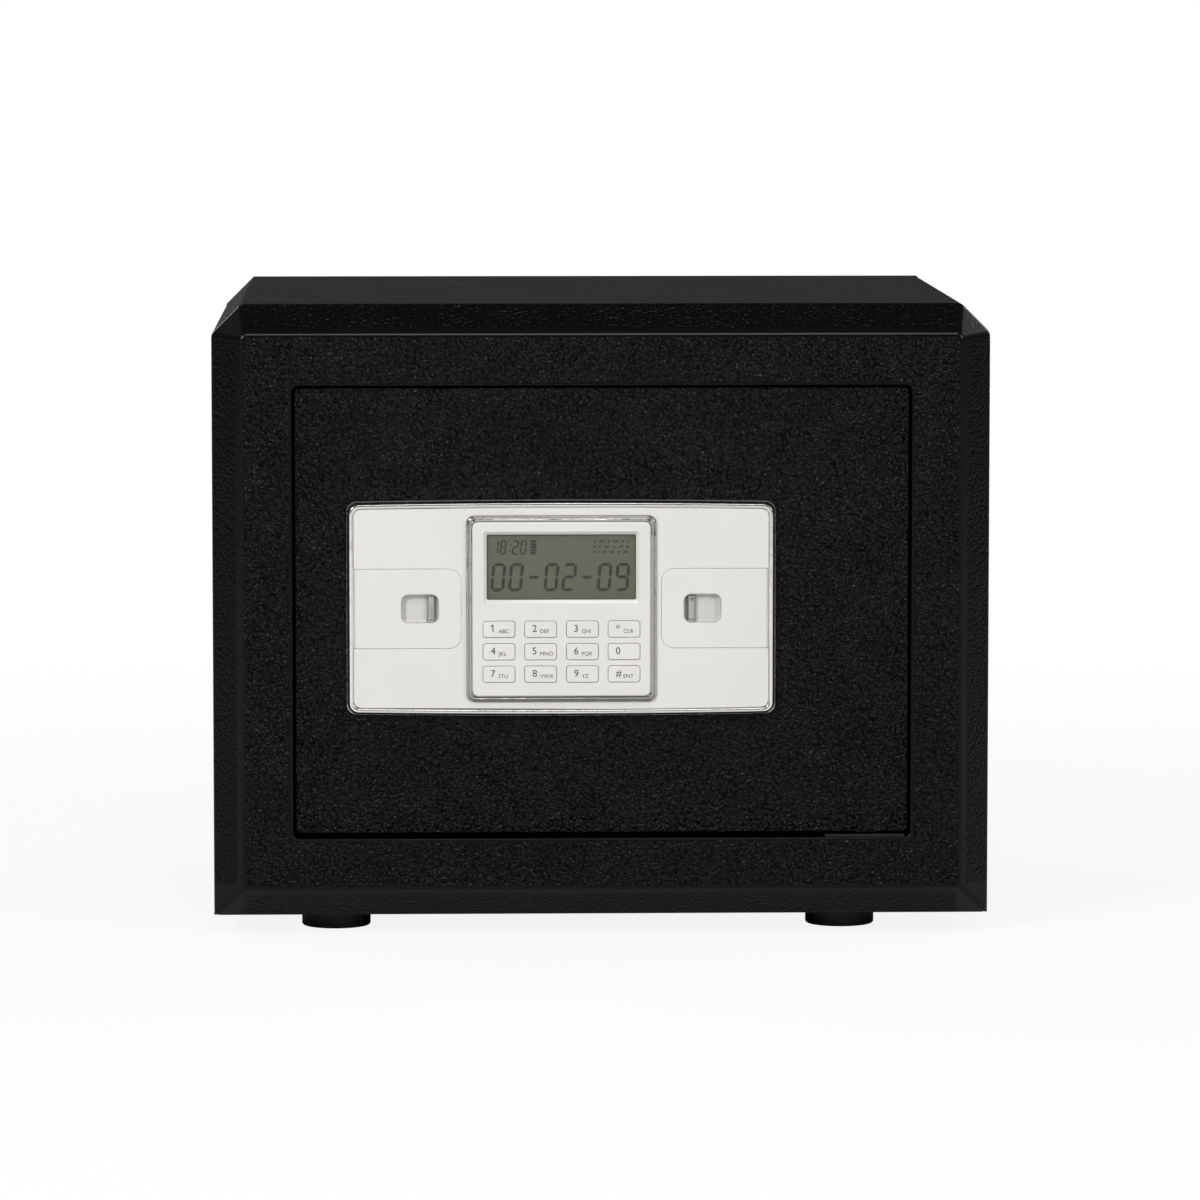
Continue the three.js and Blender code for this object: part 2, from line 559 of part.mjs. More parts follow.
function buildKeypad() {
  const front = -UNIT.front;
  const ceiling = front + UNIT.wall;
  const ring = cut(
    loft([unitOutline(BEZEL.margin - BEZEL.slope), -BEZEL.front], [unitOutline(BEZEL.margin), panel.front]),
    slab(unitOutline(BEZEL.gap), -BEZEL.front - PAST, panel.front + PAST),
  );
  piece('keypad_bezel', ring, 'chrome');

  const over = (PAST * DISPLAY.slope) / UNIT.wall;
  const screenCut = loft([screen(DISPLAY.slope + over), front - PAST], [screen(-over), ceiling + PAST]);
  const keyCuts = keys.map((key) => slab(keyOutline(key, KEY.gap), front - PAST, ceiling + PAST));
  const shell = cut(
    loft(
      [unitOutline(-UNIT.edge), front], [unitOutline(0), front + UNIT.edge],
      [unitOutline(0), panel.floor],
    ),
    slab(unitOutline(-UNIT.wall), ceiling, panel.floor + PAST),
  );
  piece('keypad_case', cut(shell, screenCut, ...keyCuts), 'pearlSilver');

  const glassRear = ceiling + DISPLAY.glass;
  const moduleY = [glassRear + CLEARANCE / 3, glassRear + CLEARANCE / 3 + DISPLAY.module];
  piece('display_window', slab(screen(DISPLAY.lap), ceiling, glassRear), 'glass');
  piece('display_module', slab(screen(DISPLAY.lap), ...moduleY), 'liquidCrystal');

  const boardFront = panel.floor - BOARD.thickness;
  piece('keypad_board', slab(unitOutline(-UNIT.wall - CLEARANCE), boardFront, panel.floor), 'circuit');

  const matFront = boardFront - BOARD.mat;
  const bossTop = matFront - BOARD.boss;
  const bosses = keys.map(({ x, z }) =>
    block(about(x, BOARD.bossWidth), [bossTop, matFront], about(z, BOARD.bossHeight)));
  const sheet = block(
    about(panel.x, (KEY.columns - 1) * KEY.pitchX + KEY.width), [matFront, boardFront],
    [keys.at(-1).z - KEY.height / 2, keys[0].z + KEY.height / 2],
  );
  piece('key_mat', join(sheet, ...bosses), 'rubber');

  const keyRear = bossTop - KEY.travel - CLEARANCE / 2;
  const lipFront = ceiling + CLEARANCE;
  for (const key of keys) {
    const body = loft(
      [keyOutline(key, -KEY.edge), -proud], [keyOutline(key, 0), -proud + KEY.edge],
      [keyOutline(key, 0), keyRear],
    );
    const lip = block(
      about(key.x, KEY.width + 2 * KEY.flange), [lipFront, lipFront + KEY.flangeDepth],
      about(key.z, KEY.height + 2 * KEY.flange),
    );
    piece(`key_row${key.row + 1}_column${key.column + 1}`, join(body, lip), 'pearlSilver');
  }
}

// Gears and racks: straight-flanked teeth with backlash, all in one plane

const flank = Math.tan(THREE.MathUtils.degToRad(RACK.slope));
const toothWidth = (height) => RACK.pitch / 2 - RACK.backlash / 2 - 2 * flank * height;

/** A spur gear about a y axis, its first tooth pointing straight up. */
function gear(teeth, { x, z }) {
  const radius = (teeth * RACK.pitch) / (2 * Math.PI);
  const points = [];
  for (let i = 0; i < teeth; i += 1) {
    const middle = Math.PI / 2 + (2 * Math.PI * i) / teeth;
    for (const [side, height] of [
      [-1, -RACK.dedendum], [-1, RACK.addendum], [1, RACK.addendum], [1, -RACK.dedendum]]) {
      const r = radius + height;
      const width = height < 0 ? toothWidth(0) + RACK.rootFlare : toothWidth(height);
      const angle = middle + (side * width) / (2 * r);
      points.push([x + r * Math.cos(angle), z + r * Math.sin(angle)]);
    }
  }
  return slab(outline(points), gearY.front, gearY.rear);
}

/** Rack teeth that hang from the arm, so that one gap lies over a gear at rest and after its travel. */
function rackTeeth(gearX) {
  const teeth = [];
  const tip = pitchLine - RACK.addendum;
  const root = pitchLine + RACK.dedendum;
  const tipHalf = toothWidth(RACK.addendum) / 2;
  const rootHalf = toothWidth(-RACK.dedendum) / 2;
  const count = Math.round(BOLT.travel / RACK.pitch) + 2;
  for (let i = -2; i < count; i += 1) {
    const x = gearX + (i + 0.5) * RACK.pitch;
    teeth.push(slab(outline([
      [x - rootHalf, root + ROOT], [x - rootHalf, root], [x - tipHalf, tip],
      [x + tipHalf, tip], [x + rootHalf, root], [x + rootHalf, root + ROOT],
    ]), carriageY.front, carriageY.rear));
  }
  return teeth;
}

function buildBoltwork() {
  const depth = [carriageY.front, carriageY.rear];
  const root = pitchLine + RACK.dedendum;
  const barX = [carriageX, carriageX + CARRIAGE.barWidth];
  const lowArm = panel.z + CARRIAGE.lowArmZ;
  const upperStud = root + CARRIAGE.armHeight / 2;
  const slotHalf = STUD.shank + CLEARANCE;
  const slots = [upperStud, lowArm].map((z) => slab(
    rounded(BOLT.travel + 2 * slotHalf, 2 * slotHalf, slotHalf, [studX + BOLT.travel / 2, z]),
    depth[0] - PAST, depth[1] + PAST,
  ));
  const rackEnd = RACK.end * RACK.pitch;
  const plate = join(
    block(barX, depth, about(panel.z, BOLT.spacing + 2 * BOLT.radius)),
    block([lock.x - rackEnd, barX[0]], depth, [root, root + CARRIAGE.keyArm]),
    block([barX[1], pinion.x + BOLT.travel + rackEnd], depth, [root, root + CARRIAGE.armHeight]),
    block([barX[1], studX + BOLT.travel + 3 * slotHalf], depth, about(lowArm, CARRIAGE.lowArmHeight)),
    ...rackTeeth(lock.x), ...rackTeeth(pinion.x),
  );
  piece('bolt_carriage', cut(plate, ...slots), 'zincPlate');

  const tip = -door.x + BOLT.tipInset;
  const boltRows = [
    [0, tip], [BOLT.radius - BOLT.chamfer, tip], [BOLT.radius, tip + BOLT.chamfer],
    [BOLT.radius, barX[0]], [0, barX[0]],
  ];
  const seat = carriageY.front - CLEARANCE;
  const under = carriageY.rear + CLEARANCE;
  const studRows = [
    [0, door.rear], [STUD.collar, door.rear], [STUD.collar, seat], [STUD.shank, seat],
    [STUD.shank, under], [STUD.head, under], [STUD.head, under + STUD.headDepth],
    [0, under + STUD.headDepth],
  ];
  const ends = [['upper', boltHeights[0], upperStud], ['lower', boltHeights[1], lowArm]];
  for (const [name, boltZ, studZ] of ends) {
    piece(`bolt_${name}`, turned('x', boltRows, [0, BOLT.centreY, boltZ]), 'chrome');
    piece(`guide_stud_${name}`, turned('y', studRows, [studX, 0, studZ], 20), 'zincPlate');
  }

  const shaftY = [gearY.front - MOTOR.shaftDepth, gearY.rear + MOTOR.shaftEnd];
  const shaft = bar('y', MOTOR.shaft, ...shaftY, [pinion.x, 0, pinion.z], 16);
  piece('motor_pinion', join(gear(GEAR.pinionTeeth, pinion), shaft), 'brass');
}

function buildLock() {
  const at = [lock.x, 0, lock.z];
  const front = POCKET.floorY - BARREL.flangeDepth;
  const nutFront = POCKET.floorY + POCKET.wall + CLEARANCE;
  const rows = [
    [0, front], [BARREL.flange, front], [BARREL.flange, POCKET.floorY], [BARREL.radius, POCKET.floorY],
    [BARREL.radius, BARREL.rearY], [0, BARREL.rearY],
  ];
  const nut = bar('y', BARREL.nut, nutFront, nutFront + BARREL.nutDepth, at, 6);
  const bore = bar('y', BARREL.bore, front - PAST, BARREL.rearY + PAST, at);
  piece('lock_barrel', cut(join(turned('y', rows, at), nut), bore), 'brightSteel');

  const plugFront = front + CLEARANCE;
  const keyway = block(
    about(lock.x, PLUG.keywayWidth), [plugFront - PAST, plugFront + PLUG.keywayDepth],
    about(lock.z, PLUG.keywayHeight),
  );
  const plug = join(
    bar('y', PLUG.radius, plugFront, BARREL.rearY + CLEARANCE, at),
    block(about(lock.x, 2 * PLUG.tail), [BARREL.rearY - ROOT, PLUG.rearY], about(lock.z, 2 * PLUG.tail)),
    gear(GEAR.keyTeeth, lock),
  );
  piece('key_plug', cut(plug, keyway), 'brass');

  const contactX = panel.x + well.middle;
  const contactFront = POCKET.floorY - CONTACT.frontInset;
  const holder = block(
    about(contactX, CONTACT.width), [contactFront, CONTACT.rearY], about(panel.z, CONTACT.height));
  const studs = [-1, 1].map((side) => bar(
    'y', CONTACT.stud, contactFront - CONTACT.studHeight, contactFront + ROOT,
    [contactX + (side * CONTACT.width) / 4, 0, panel.z], 16,
  ));
  piece('power_contacts', join(holder, ...studs), 'blackPlastic');

  const gearboxX = about(pinion.x, MOTOR.width);
  const gearboxRear = gearY.front - MOTOR.gap;
  const motor = join(
    block(gearboxX, [door.rear, gearboxRear], about(pinion.z, MOTOR.height)),
    bar('x', MOTOR.can, gearboxX[1] - ROOT, gearboxX[1] + MOTOR.canLength,
      [0, (door.rear + gearboxRear) / 2, pinion.z]),
  );
  const shaftEnd = gearY.front - MOTOR.shaftDepth - CLEARANCE;
  const shaftHole = bar(
    'y', MOTOR.shaft + CLEARANCE, shaftEnd, gearboxRear + PAST, [pinion.x, 0, pinion.z], 16);
  piece('gear_motor', cut(motor, shaftHole), 'blackPlastic');
}

// Battery tray, control board and the reset button, all behind the door

function buildElectronics() {
  const shell = block(
    [tray.x[0] - TRAY.wall, tray.x[1] + TRAY.wall], [tray.floor - TRAY.wall, cover.inside],
    [tray.z[0] - TRAY.wall, tray.z[1] + TRAY.wall],
  );
  piece('battery_tray', cut(shell, block(tray.x, [tray.floor, cover.inside + PAST], tray.z)), 'blackPlastic');

  const trayMiddle = (tray.x[0] + tray.x[1]) / 2;
  const cellEnd = (CELL.length + CELL.nubLength) / 2;
  for (let i = 0; i < CELL.count; i += 1) {
    const way = i % 2 ? -1 : 1;
    const shoulder = way * (cellEnd - CELL.nubLength);
    const sleeve = [-way * cellEnd, shoulder].sort((a, b) => a - b);
    const nub = [shoulder - way * ROOT, way * cellEnd].sort((a, b) => a - b);
    const at = [trayMiddle, cellY, tray.z[0] + (i + 0.5) * cellPitch];
    const cell = join(bar('x', CELL.radius, ...sleeve, at), bar('x', CELL.nub, ...nub, at, 12));
    piece(`battery_cell_${i + 1}`, cell, 'cellWrap');
  }

  const lidFront = cover.rear + CLEARANCE;
  const lid = rounded(
    tray.x[1] - tray.x[0] + 2 * LID.lap, tray.z[1] - tray.z[0] + 2 * LID.lap, LID.corner,
    [trayMiddle, (tray.z[0] + tray.z[1]) / 2],
  );
  piece('battery_lid', slab(lid, lidFront, lidFront + LID.thickness), 'blackPlastic');

  const buttonFront = cover.inside - RESET.inside;
  const flangeRear = cover.inside - CLEARANCE;
  const flangeFront = flangeRear - RESET.flangeDepth;
  const buttonRear = cover.rear + RESET.proud;
  piece('reset_button', turned('y', [
    [0, buttonFront], [RESET.radius, buttonFront], [RESET.radius, flangeFront], [RESET.flange, flangeFront],
    [RESET.flange, flangeRear], [RESET.radius, flangeRear], [RESET.radius, buttonRear], [0, buttonRear],
  ], [reset.x, 0, reset.z]), 'redPlastic');

  const boardX = about(circuit.x, CIRCUIT.width);
  const boardY = [door.rear + CIRCUIT.standoff, door.rear + CIRCUIT.standoff + CIRCUIT.thickness];
  const postX = CIRCUIT.width / 2 - CIRCUIT.postInset;
  const postZ = CIRCUIT.height / 2 - CIRCUIT.postInset;
  const posts = [[-1, -1], [1, -1], [1, 1], [-1, 1]].map(([sx, sz]) => bar(
    'y', CIRCUIT.post, door.rear, boardY[0] + ROOT, [circuit.x + sx * postX, 0, circuit.z + sz * postZ], 12));
  const board = block(boardX, boardY, about(circuit.z, CIRCUIT.height));
  const relay = block(
    [circuit.x, circuit.x + RELAY.width], [boardY[0], boardY[1] + RELAY.depth],
    about(circuit.z, RELAY.height),
  );
  const plugZ = circuit.z + SOCKET.offsetZ;
  const socket = block(
    [boardX[0], boardX[0] + SOCKET.width], [boardY[0], boardY[1] + SOCKET.depth],
    about(plugZ, SOCKET.height),
  );
  piece('control_board', join(board, ...posts, relay, socket), 'circuit');

  const plugY = boardY[1] + SOCKET.depth / 2;
  const route = new THREE.CatmullRomCurve3([
    new THREE.Vector3(loom.x, panel.floor + CLEARANCE, loom.z),
    new THREE.Vector3(loom.x, door.rear, loom.z),
    new THREE.Vector3(loom.x + 4, plugY, loom.z + 1),
    new THREE.Vector3((loom.x + boardX[0]) / 2, plugY + 2, (loom.z + plugZ) / 2),
    new THREE.Vector3(boardX[0] - 6, plugY, plugZ),
    new THREE.Vector3(boardX[0] - CLEARANCE, plugY, plugZ),
  ]);
  const circle = new THREE.EllipseCurve(0, 0, LOOM.radius, LOOM.radius).getPoints(8);
  const ring = new THREE.Shape(circle.slice(0, 8));
  piece('cable_loom', solid(new THREE.ExtrudeGeometry(ring, { steps: 14, extrudePath: route })), 'rubber');
}

buildBody();
buildHinge();
buildDoor();
buildPanel();
buildKeypad();
buildBoltwork();
buildLock();
buildElectronics();

model.position.set(0, (proud - BODY.depth) / 2, FOOT.height);
const safe = new THREE.Group();
safe.add(model);

export default safe;
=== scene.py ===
import json
import math

import bmesh
import bpy
import numpy as np
from bpy.props import FloatProperty, FloatVectorProperty, PointerProperty
from bpy.types import Operator, Panel, PropertyGroup
from mathutils import Euler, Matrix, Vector


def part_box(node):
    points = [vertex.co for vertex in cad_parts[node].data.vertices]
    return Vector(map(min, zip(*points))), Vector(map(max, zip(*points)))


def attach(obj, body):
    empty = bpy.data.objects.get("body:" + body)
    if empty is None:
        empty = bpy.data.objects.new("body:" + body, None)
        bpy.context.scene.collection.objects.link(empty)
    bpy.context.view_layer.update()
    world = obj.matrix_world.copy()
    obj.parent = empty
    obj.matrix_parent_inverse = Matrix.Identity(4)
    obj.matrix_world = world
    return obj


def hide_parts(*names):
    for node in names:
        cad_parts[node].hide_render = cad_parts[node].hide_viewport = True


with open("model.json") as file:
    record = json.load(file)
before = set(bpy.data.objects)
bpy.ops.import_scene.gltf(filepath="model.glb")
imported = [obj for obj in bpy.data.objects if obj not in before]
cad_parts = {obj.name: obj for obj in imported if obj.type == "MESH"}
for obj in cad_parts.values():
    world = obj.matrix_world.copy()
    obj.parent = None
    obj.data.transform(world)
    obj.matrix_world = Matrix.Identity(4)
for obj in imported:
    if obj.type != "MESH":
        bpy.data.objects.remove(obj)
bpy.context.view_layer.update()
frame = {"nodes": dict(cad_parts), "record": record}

bl_info = {
    "name": "Home Safe",
    "version": (1, 0, 0),
    "blender": (4, 5, 0),
    "location": "View3D > Sidebar > Home Safe",
    "description": "Finishes every piece of a small home safe and sets up its studio",
    "category": "Object",
}

MM = 0.001  # shapes are worked out in millimetres and become metres in the mesh
MERGE = 2e-6  # metres, closer points are one point
FLAT_TURN = math.radians(1)  # facets that turn less than this are one flat face
SHARP_TURN = math.radians(38)  # an edge that turns more than this is a corner


# Sizes and colours that a user would change


class SafeSizes(PropertyGroup):
    """Sizes of the finished shapes that the frame's boxes don't give."""

    frame_ring: FloatProperty(
        name="Frame width", description="Flat width of the front frame round the opening",
        default=24.5 * MM, unit="LENGTH")
    frame_sheet: FloatProperty(
        name="Frame sheet", description="Thickness of the front frame", default=2.5 * MM, unit="LENGTH")
    body_sheet: FloatProperty(
        name="Body sheet", description="Thickness of the body sheet", default=2.0 * MM, unit="LENGTH")
    bend: FloatProperty(
        name="Bend radius", description="Outside radius of the folds of the body",
        default=2.6 * MM, unit="LENGTH")
    coat_edge: FloatProperty(
        name="Coated edge", description="Radius of the cut edges under the powder coat",
        default=0.5 * MM, unit="LENGTH")
    trim_edge: FloatProperty(
        name="Trim edge", description="Radius of the edges of the moulded trim",
        default=0.3 * MM, unit="LENGTH")
    key_crown: FloatProperty(
        name="Key crown", description="How far a key swells in its middle", default=0.14 * MM, unit="LENGTH")
    digit_height: FloatProperty(
        name="Digit height", description="Height of the digits on the keys", default=3.6 * MM, unit="LENGTH")
    letter_height: FloatProperty(
        name="Letter height", description="Height of the letters on the keys",
        default=2.0 * MM, unit="LENGTH")


class SafeColours(PropertyGroup):
    """Colours of the finishes, as linear values."""

    coat: FloatVectorProperty(
        name="Powder coat", description="Black of the body and the door", subtype="COLOR",
        default=(0.0027, 0.0027, 0.0028), min=0, max=1)
    silver: FloatVectorProperty(
        name="Silver lacquer", description="Face sheet, flaps, keypad and keys", subtype="COLOR",
        default=(0.64, 0.628, 0.592), min=0, max=1)
    plating: FloatVectorProperty(
        name="Plating", description="Bright plating of the trim", subtype="COLOR",
        default=(0.83, 0.815, 0.78), min=0, max=1)
    display: FloatVectorProperty(
        name="Display", description="Ground of the liquid crystal display", subtype="COLOR",
        default=(0.096, 0.1, 0.072), min=0, max=1)
    display_ink: FloatVectorProperty(
        name="Display digits", description="Digits of the display", subtype="COLOR",
        default=(0.016, 0.017, 0.012), min=0, max=1)
    ink: FloatVectorProperty(
        name="Key ink", description="Digits and letters on the keys", subtype="COLOR",
        default=(0.02, 0.02, 0.019), min=0, max=1)


class SafeStudio(PropertyGroup):
    """The camera and the light."""

    camera_place: FloatVectorProperty(
        name="Camera place", description="Where the camera stands", subtype="TRANSLATION",
        default=(-0.0958, -3.3556, 0.4732))
    camera_yaw: FloatProperty(
        name="Camera yaw", description="Turn towards the right", subtype="ANGLE", default=math.radians(1.69))
    camera_pitch: FloatProperty(
        name="Camera pitch", description="Turn downwards", subtype="ANGLE", default=math.radians(5.463))
    focal_length: FloatProperty(
        name="Focal length", description="Millimetres on a sensor 36 mm wide", default=198.7)
    ambient: FloatProperty(
        name="Room light", description="Strength of the even light from all round", default=0.12)
    mirrored: FloatProperty(
        name="Mirrored room", description="Brightness of the room in glossy surfaces", default=0.17)
    lamp_power: FloatProperty(
        name="Lamp power", description="Power of the main soft lamp", default=74.0, unit="POWER")


def sizes():
    """The sizes in millimetres, by name."""
    group = bpy.context.scene.safe_sizes
    return {name: getattr(group, name) / MM for name in group.__annotations__}


# Shader nodes


class Socket:
    """One output of a node tree. Arithmetic on it adds Math nodes."""

    def __init__(self, nodes, link):
        self.nodes = nodes
        self.link = link

    def math(self, operation, first, second):
        return self.nodes.node("ShaderNodeMath", {"operation": operation}, {0: first, 1: second})

    def __add__(self, other):
        return self.math("ADD", self, other)

    def __sub__(self, other):
        return self.math("SUBTRACT", self, other)

    def __rsub__(self, other):
        return self.math("SUBTRACT", other, self)

    def __mul__(self, other):
        return self.math("MULTIPLY", self, other)

    def __or__(self, other):
        return self.math("MAXIMUM", self, other)

    __radd__ = __add__
    __rmul__ = __mul__


class Nodes:
    """A node tree that is filled by one method for any node and short ones for the usual patterns."""

    def __init__(self, tree):
        self.tree = tree
        tree.nodes.clear()

    def node(self, kind, settings=None, sockets=None, output=0):
        """Adds a node: its settings first, then the value or link of each socket."""
        made = self.tree.nodes.new(kind)
        for name, value in (settings or {}).items():
            if name == "stops":
                self.stops(made.color_ramp.elements, value)
            else:
                setattr(made, name, value)
        for key, value in (sockets or {}).items():
            if isinstance(value, Socket):
                self.tree.links.new(value.link, made.inputs[key])
            else:
                made.inputs[key].default_value = value
        return Socket(self, made.outputs[output])

    def stops(self, elements, stops):
        """Sets a ramp's stops, each a place and a grey."""
        while len(elements) < len(stops):
            elements.new(1.0)
        for element, (place, grey) in zip(elements, stops):
            element.position = place
            element.color = (grey, grey, grey, 1)

    def place(self, stretch=(1, 1, 1)):
        """Object coordinates, stretched along the axes."""
        here = self.node("ShaderNodeTexCoord", output="Object")
        return self.node("ShaderNodeMapping", sockets={"Vector": here, "Scale": stretch})

    def noise(self, place, scale, detail=2.0, roughness=0.5, distortion=0.0):
        return self.node("ShaderNodeTexNoise", sockets={
            "Vector": place, "Scale": scale, "Detail": detail, "Roughness": roughness,
            "Distortion": distortion})

    def ramp(self, value, low, high, to_low=0.0, to_high=1.0):
        """Maps a value smoothly from one range to another and holds it at the ends."""
        return self.node("ShaderNodeMapRange", {"interpolation_type": "SMOOTHSTEP"}, {
            "Value": value, "From Min": low, "From Max": high, "To Min": to_low, "To Max": to_high})

    def blend(self, factor, first, second):
        """Mixes two colours."""
        return self.node("ShaderNodeMix", {"data_type": "RGBA"}, {0: factor, 6: first, 7: second}, 2)

    def bump(self, height, strength, distance):
        """A normal from a height whose full range is a distance in metres."""
        return self.node("ShaderNodeBump", sockets={
            "Strength": strength, "Distance": distance, "Height": height})

    def surface(self, sockets):
        """Ends the tree in a Principled shader."""
        self.end("ShaderNodeOutputMaterial", self.node("ShaderNodeBsdfPrincipled", sockets=sockets))

    def end(self, kind, shader):
        """Joins a shader to the tree's output."""
        made = self.tree.nodes.new(kind)
        self.tree.links.new(shader.link, made.inputs["Surface"])


def shaded(colour, share=1.0):
    """A colour, or one of the panel's by its name, darkened to a share of itself."""
    if isinstance(colour, str):
        colour = getattr(bpy.context.scene.safe_colours, colour)
    return tuple(channel * share for channel in colour)


def opaque(colour, share=1.0):
    """The same with full alpha."""
    return shaded(colour, share) + (1.0,)


# Finishes. Each fills a new material's node tree.

GRAIN_DRIFT = 0.0016  # metres, how far the lumps of the powder coat are pulled out of their rows
GRAIN_RELIEF = 0.0006  # metres, height of the coat's lumps and of the plating's waves
FOLD_FADE = 0.002  # metres, over which the frame's grain fades out beside a fold


def wrinkle_black(nodes, grain=1.0, level=0.1, rough=0.19, gloss=0.0):
    """Powder coat with a leather-like grain: crooked lumps about 1.3 mm wide, painted paler on top as a
    highlight and darker between them as shade.

    Grain is the lumps' depth and how strongly their painted highlight and shade show, level is how much the
    coat mirrors, rough is its least roughness, and gloss is the weight of a smooth film over it."""
    here = nodes.place()
    drift = nodes.node(
        "ShaderNodeTexNoise", sockets={"Vector": here, "Scale": 520, "Detail": 1}, output="Color")
    bent = nodes.node("ShaderNodeVectorMath", {"operation": "MULTIPLY_ADD"}, {
        0: drift, 1: (GRAIN_DRIFT,) * 3, 2: here})
    cells = nodes.node("ShaderNodeTexVoronoi", {"feature": "SMOOTH_F1"}, {
        "Vector": bent, "Scale": 630, "Smoothness": 0.2})
    domes = 1.0 - cells * cells * 2.2
    ripples = nodes.noise(here, 1100, 2)
    clouds = nodes.noise(here, 22, 2)
    depth = nodes.ramp(nodes.noise(here, 60, 2), 0.3, 0.7, 0.75, 1.1)
    normal = nodes.bump((domes + ripples * 0.35) * depth, 1.1 * grain, GRAIN_RELIEF)
    # Painted light: the colour is paler on the lumps' tops, a painted highlight, and darker in the hollows
    # between them, painted shade; where the grain is faint it stays at the dark end.
    nodes.surface({
        "Base Color": nodes.blend(domes * grain, opaque("coat", 0.2), opaque("coat", 1.5)),
        "Roughness": rough + clouds * 0.08, "Specular IOR Level": level, "Normal": normal,
        "Coat Weight": gloss, "Coat Roughness": 0.26})


def frame_black(nodes):
    """The coat of the front frame, with less grain on the bevels and none along the folds and the lip; the
    painted highlight on the lumps fades with the grain, leaving the coat's darkest colour there.
    """
    low, high = (corner * MM for corner in extent("front_frame"))
    bevel, fade, centre = high[1] - low[1], FOLD_FADE, tuple((low + high) / 2)
    here = nodes.node("ShaderNodeTexCoord", output="Object")
    middle = nodes.node("ShaderNodeVectorMath", {"operation": "SUBTRACT"}, {0: here, 1: centre})
    folded = nodes.node("ShaderNodeVectorMath", {"operation": "ABSOLUTE"}, {0: middle})
    grain, past_lip = 1.0, []
    for index, axis in ((0, "X"), (2, "Z")):
        away = nodes.node("ShaderNodeSeparateXYZ", sockets={0: folded}, output=axis)
        fold = (high - low)[index] / 2 - bevel
        past_lip.append(away - (fold - bpy.context.scene.safe_sizes.frame_ring))
        flat = nodes.ramp(away, fold - fade, fold - fade / 2, 1.0, 0.0)
        slope = nodes.ramp(away, fold + fade / 2, fold + 2 * fade, 0.0, 0.23)
        grain = (flat + slope) * grain
    grain = grain * nodes.ramp(past_lip[0] | past_lip[1], fade / 4, fade, 0.0, 1.0)
    wrinkle_black(nodes, grain, gloss=nodes.ramp(grain, 0.0, 0.3, 0.17, 0.0))


def satin_black(nodes):
    """The same coat where the sheet lies smooth, with shallower lumps and a fainter painted highlight and
    shade on them.
    """
    wrinkle_black(nodes, 0.45, 0.09, 0.36)


def plated(nodes, colour, rough, streaks, wave):
    """A metal: faint drawn streaks in its roughness and a long shallow wave in its surface."""
    streak = nodes.noise(nodes.place(streaks), 900, 3, 0.6)
    ripple = nodes.noise(nodes.place(), 85, 2)
    nodes.surface({
        "Base Color": nodes.blend(streak, opaque(colour, 0.94), opaque(colour)), "Metallic": 1.0,
        "Roughness": nodes.ramp(streak, 0.2, 0.8, rough * 0.75, rough * 1.3),
        "Normal": nodes.bump(ripple + streak * 0.05, wave, GRAIN_RELIEF)})


def zinc_plate(nodes):
    plated(nodes, (0.56, 0.57, 0.59), 0.34, (0.2, 1, 1), 0.12)


def bright_steel(nodes):
    plated(nodes, (0.6, 0.61, 0.62), 0.26, (1, 1, 0.1), 0.06)


def black_zinc(nodes):
    plated(nodes, (0.035, 0.035, 0.037), 0.5, (1, 1, 0.3), 0.08)


def chrome_trim(nodes):
    plated(nodes, "plating", 0.15, (1, 1, 1), 0.25)


def trim_chrome(nodes):
    """The same plating, darkened to 0.55 of itself as painted dark reflection and shade, and wavier, on the
    keypad's trim and the finger bars.
    """
    plated(nodes, shaded("plating", 0.55), 0.09, (1, 1, 1), 0.5)


def bolt_chrome(nodes):
    plated(nodes, (0.72, 0.72, 0.73), 0.12, (0.08, 1, 1), 0.04)


def brass(nodes):
    plated(nodes, (0.56, 0.39, 0.14), 0.28, (1, 1, 1), 0.05)


def pearl_silver(nodes):
    """Lacquer with a fine pearl: a faint flake in colour and gloss over a satin ground."""
    here = nodes.place()
    flake = nodes.noise(here, 5200, 1)
    clouds = nodes.noise(here, 22, 2)
    nodes.surface({
        "Base Color": nodes.blend(nodes.ramp(flake * 0.5 + clouds * 0.5, 0.35, 0.65),
                                  opaque("silver", 0.965), opaque("silver", 1.01)),
        "Metallic": 0.12, "Roughness": nodes.ramp(flake, 0.3, 0.7, 0.33, 0.43),
        "Specular IOR Level": 0.35, "Coat Weight": 0.15,
        "Normal": nodes.bump(flake, 0.05, 0.00005)})


def dish_silver(nodes):
    """The silver inside a finger dish, darkened to 0.79 of itself as painted shade of the recess, with more
    gloss.
    """
    moulded(nodes, shaded("silver", 0.79), 0.24, 900, 0.04)


def moulded(nodes, colour, rough, grain_scale, grain):
    """A moulded surface: an even fine grain with slight clouds of gloss."""
    here = nodes.place()
    texture = nodes.noise(here, grain_scale, 2)
    clouds = nodes.noise(here, 40, 2)
    nodes.surface({
        "Base Color": nodes.blend(clouds, opaque(colour, 0.88), opaque(colour, 1.08)),
        "Roughness": nodes.ramp(clouds, 0.25, 0.75, rough - 0.06, rough + 0.06),
        "Specular IOR Level": 0.35, "Normal": nodes.bump(texture, grain, 0.0001)})


def rubber_black(nodes):
    moulded(nodes, (0.013, 0.013, 0.0135), 0.55, 1500, 0.3)


def black_plastic(nodes):
    moulded(nodes, (0.024, 0.024, 0.025), 0.46, 2200, 0.5)


def red_plastic(nodes):
    moulded(nodes, (0.42, 0.025, 0.025), 0.3, 1200, 0.06)


def cell_wrap(nodes):
    moulded(nodes, (0.1, 0.17, 0.35), 0.35, 400, 0.05)


def key_ink(nodes):
    moulded(nodes, "ink", 0.5, 3000, 0.1)


def display_ink(nodes):
    moulded(nodes, "display_ink", 0.5, 3000, 0.02)


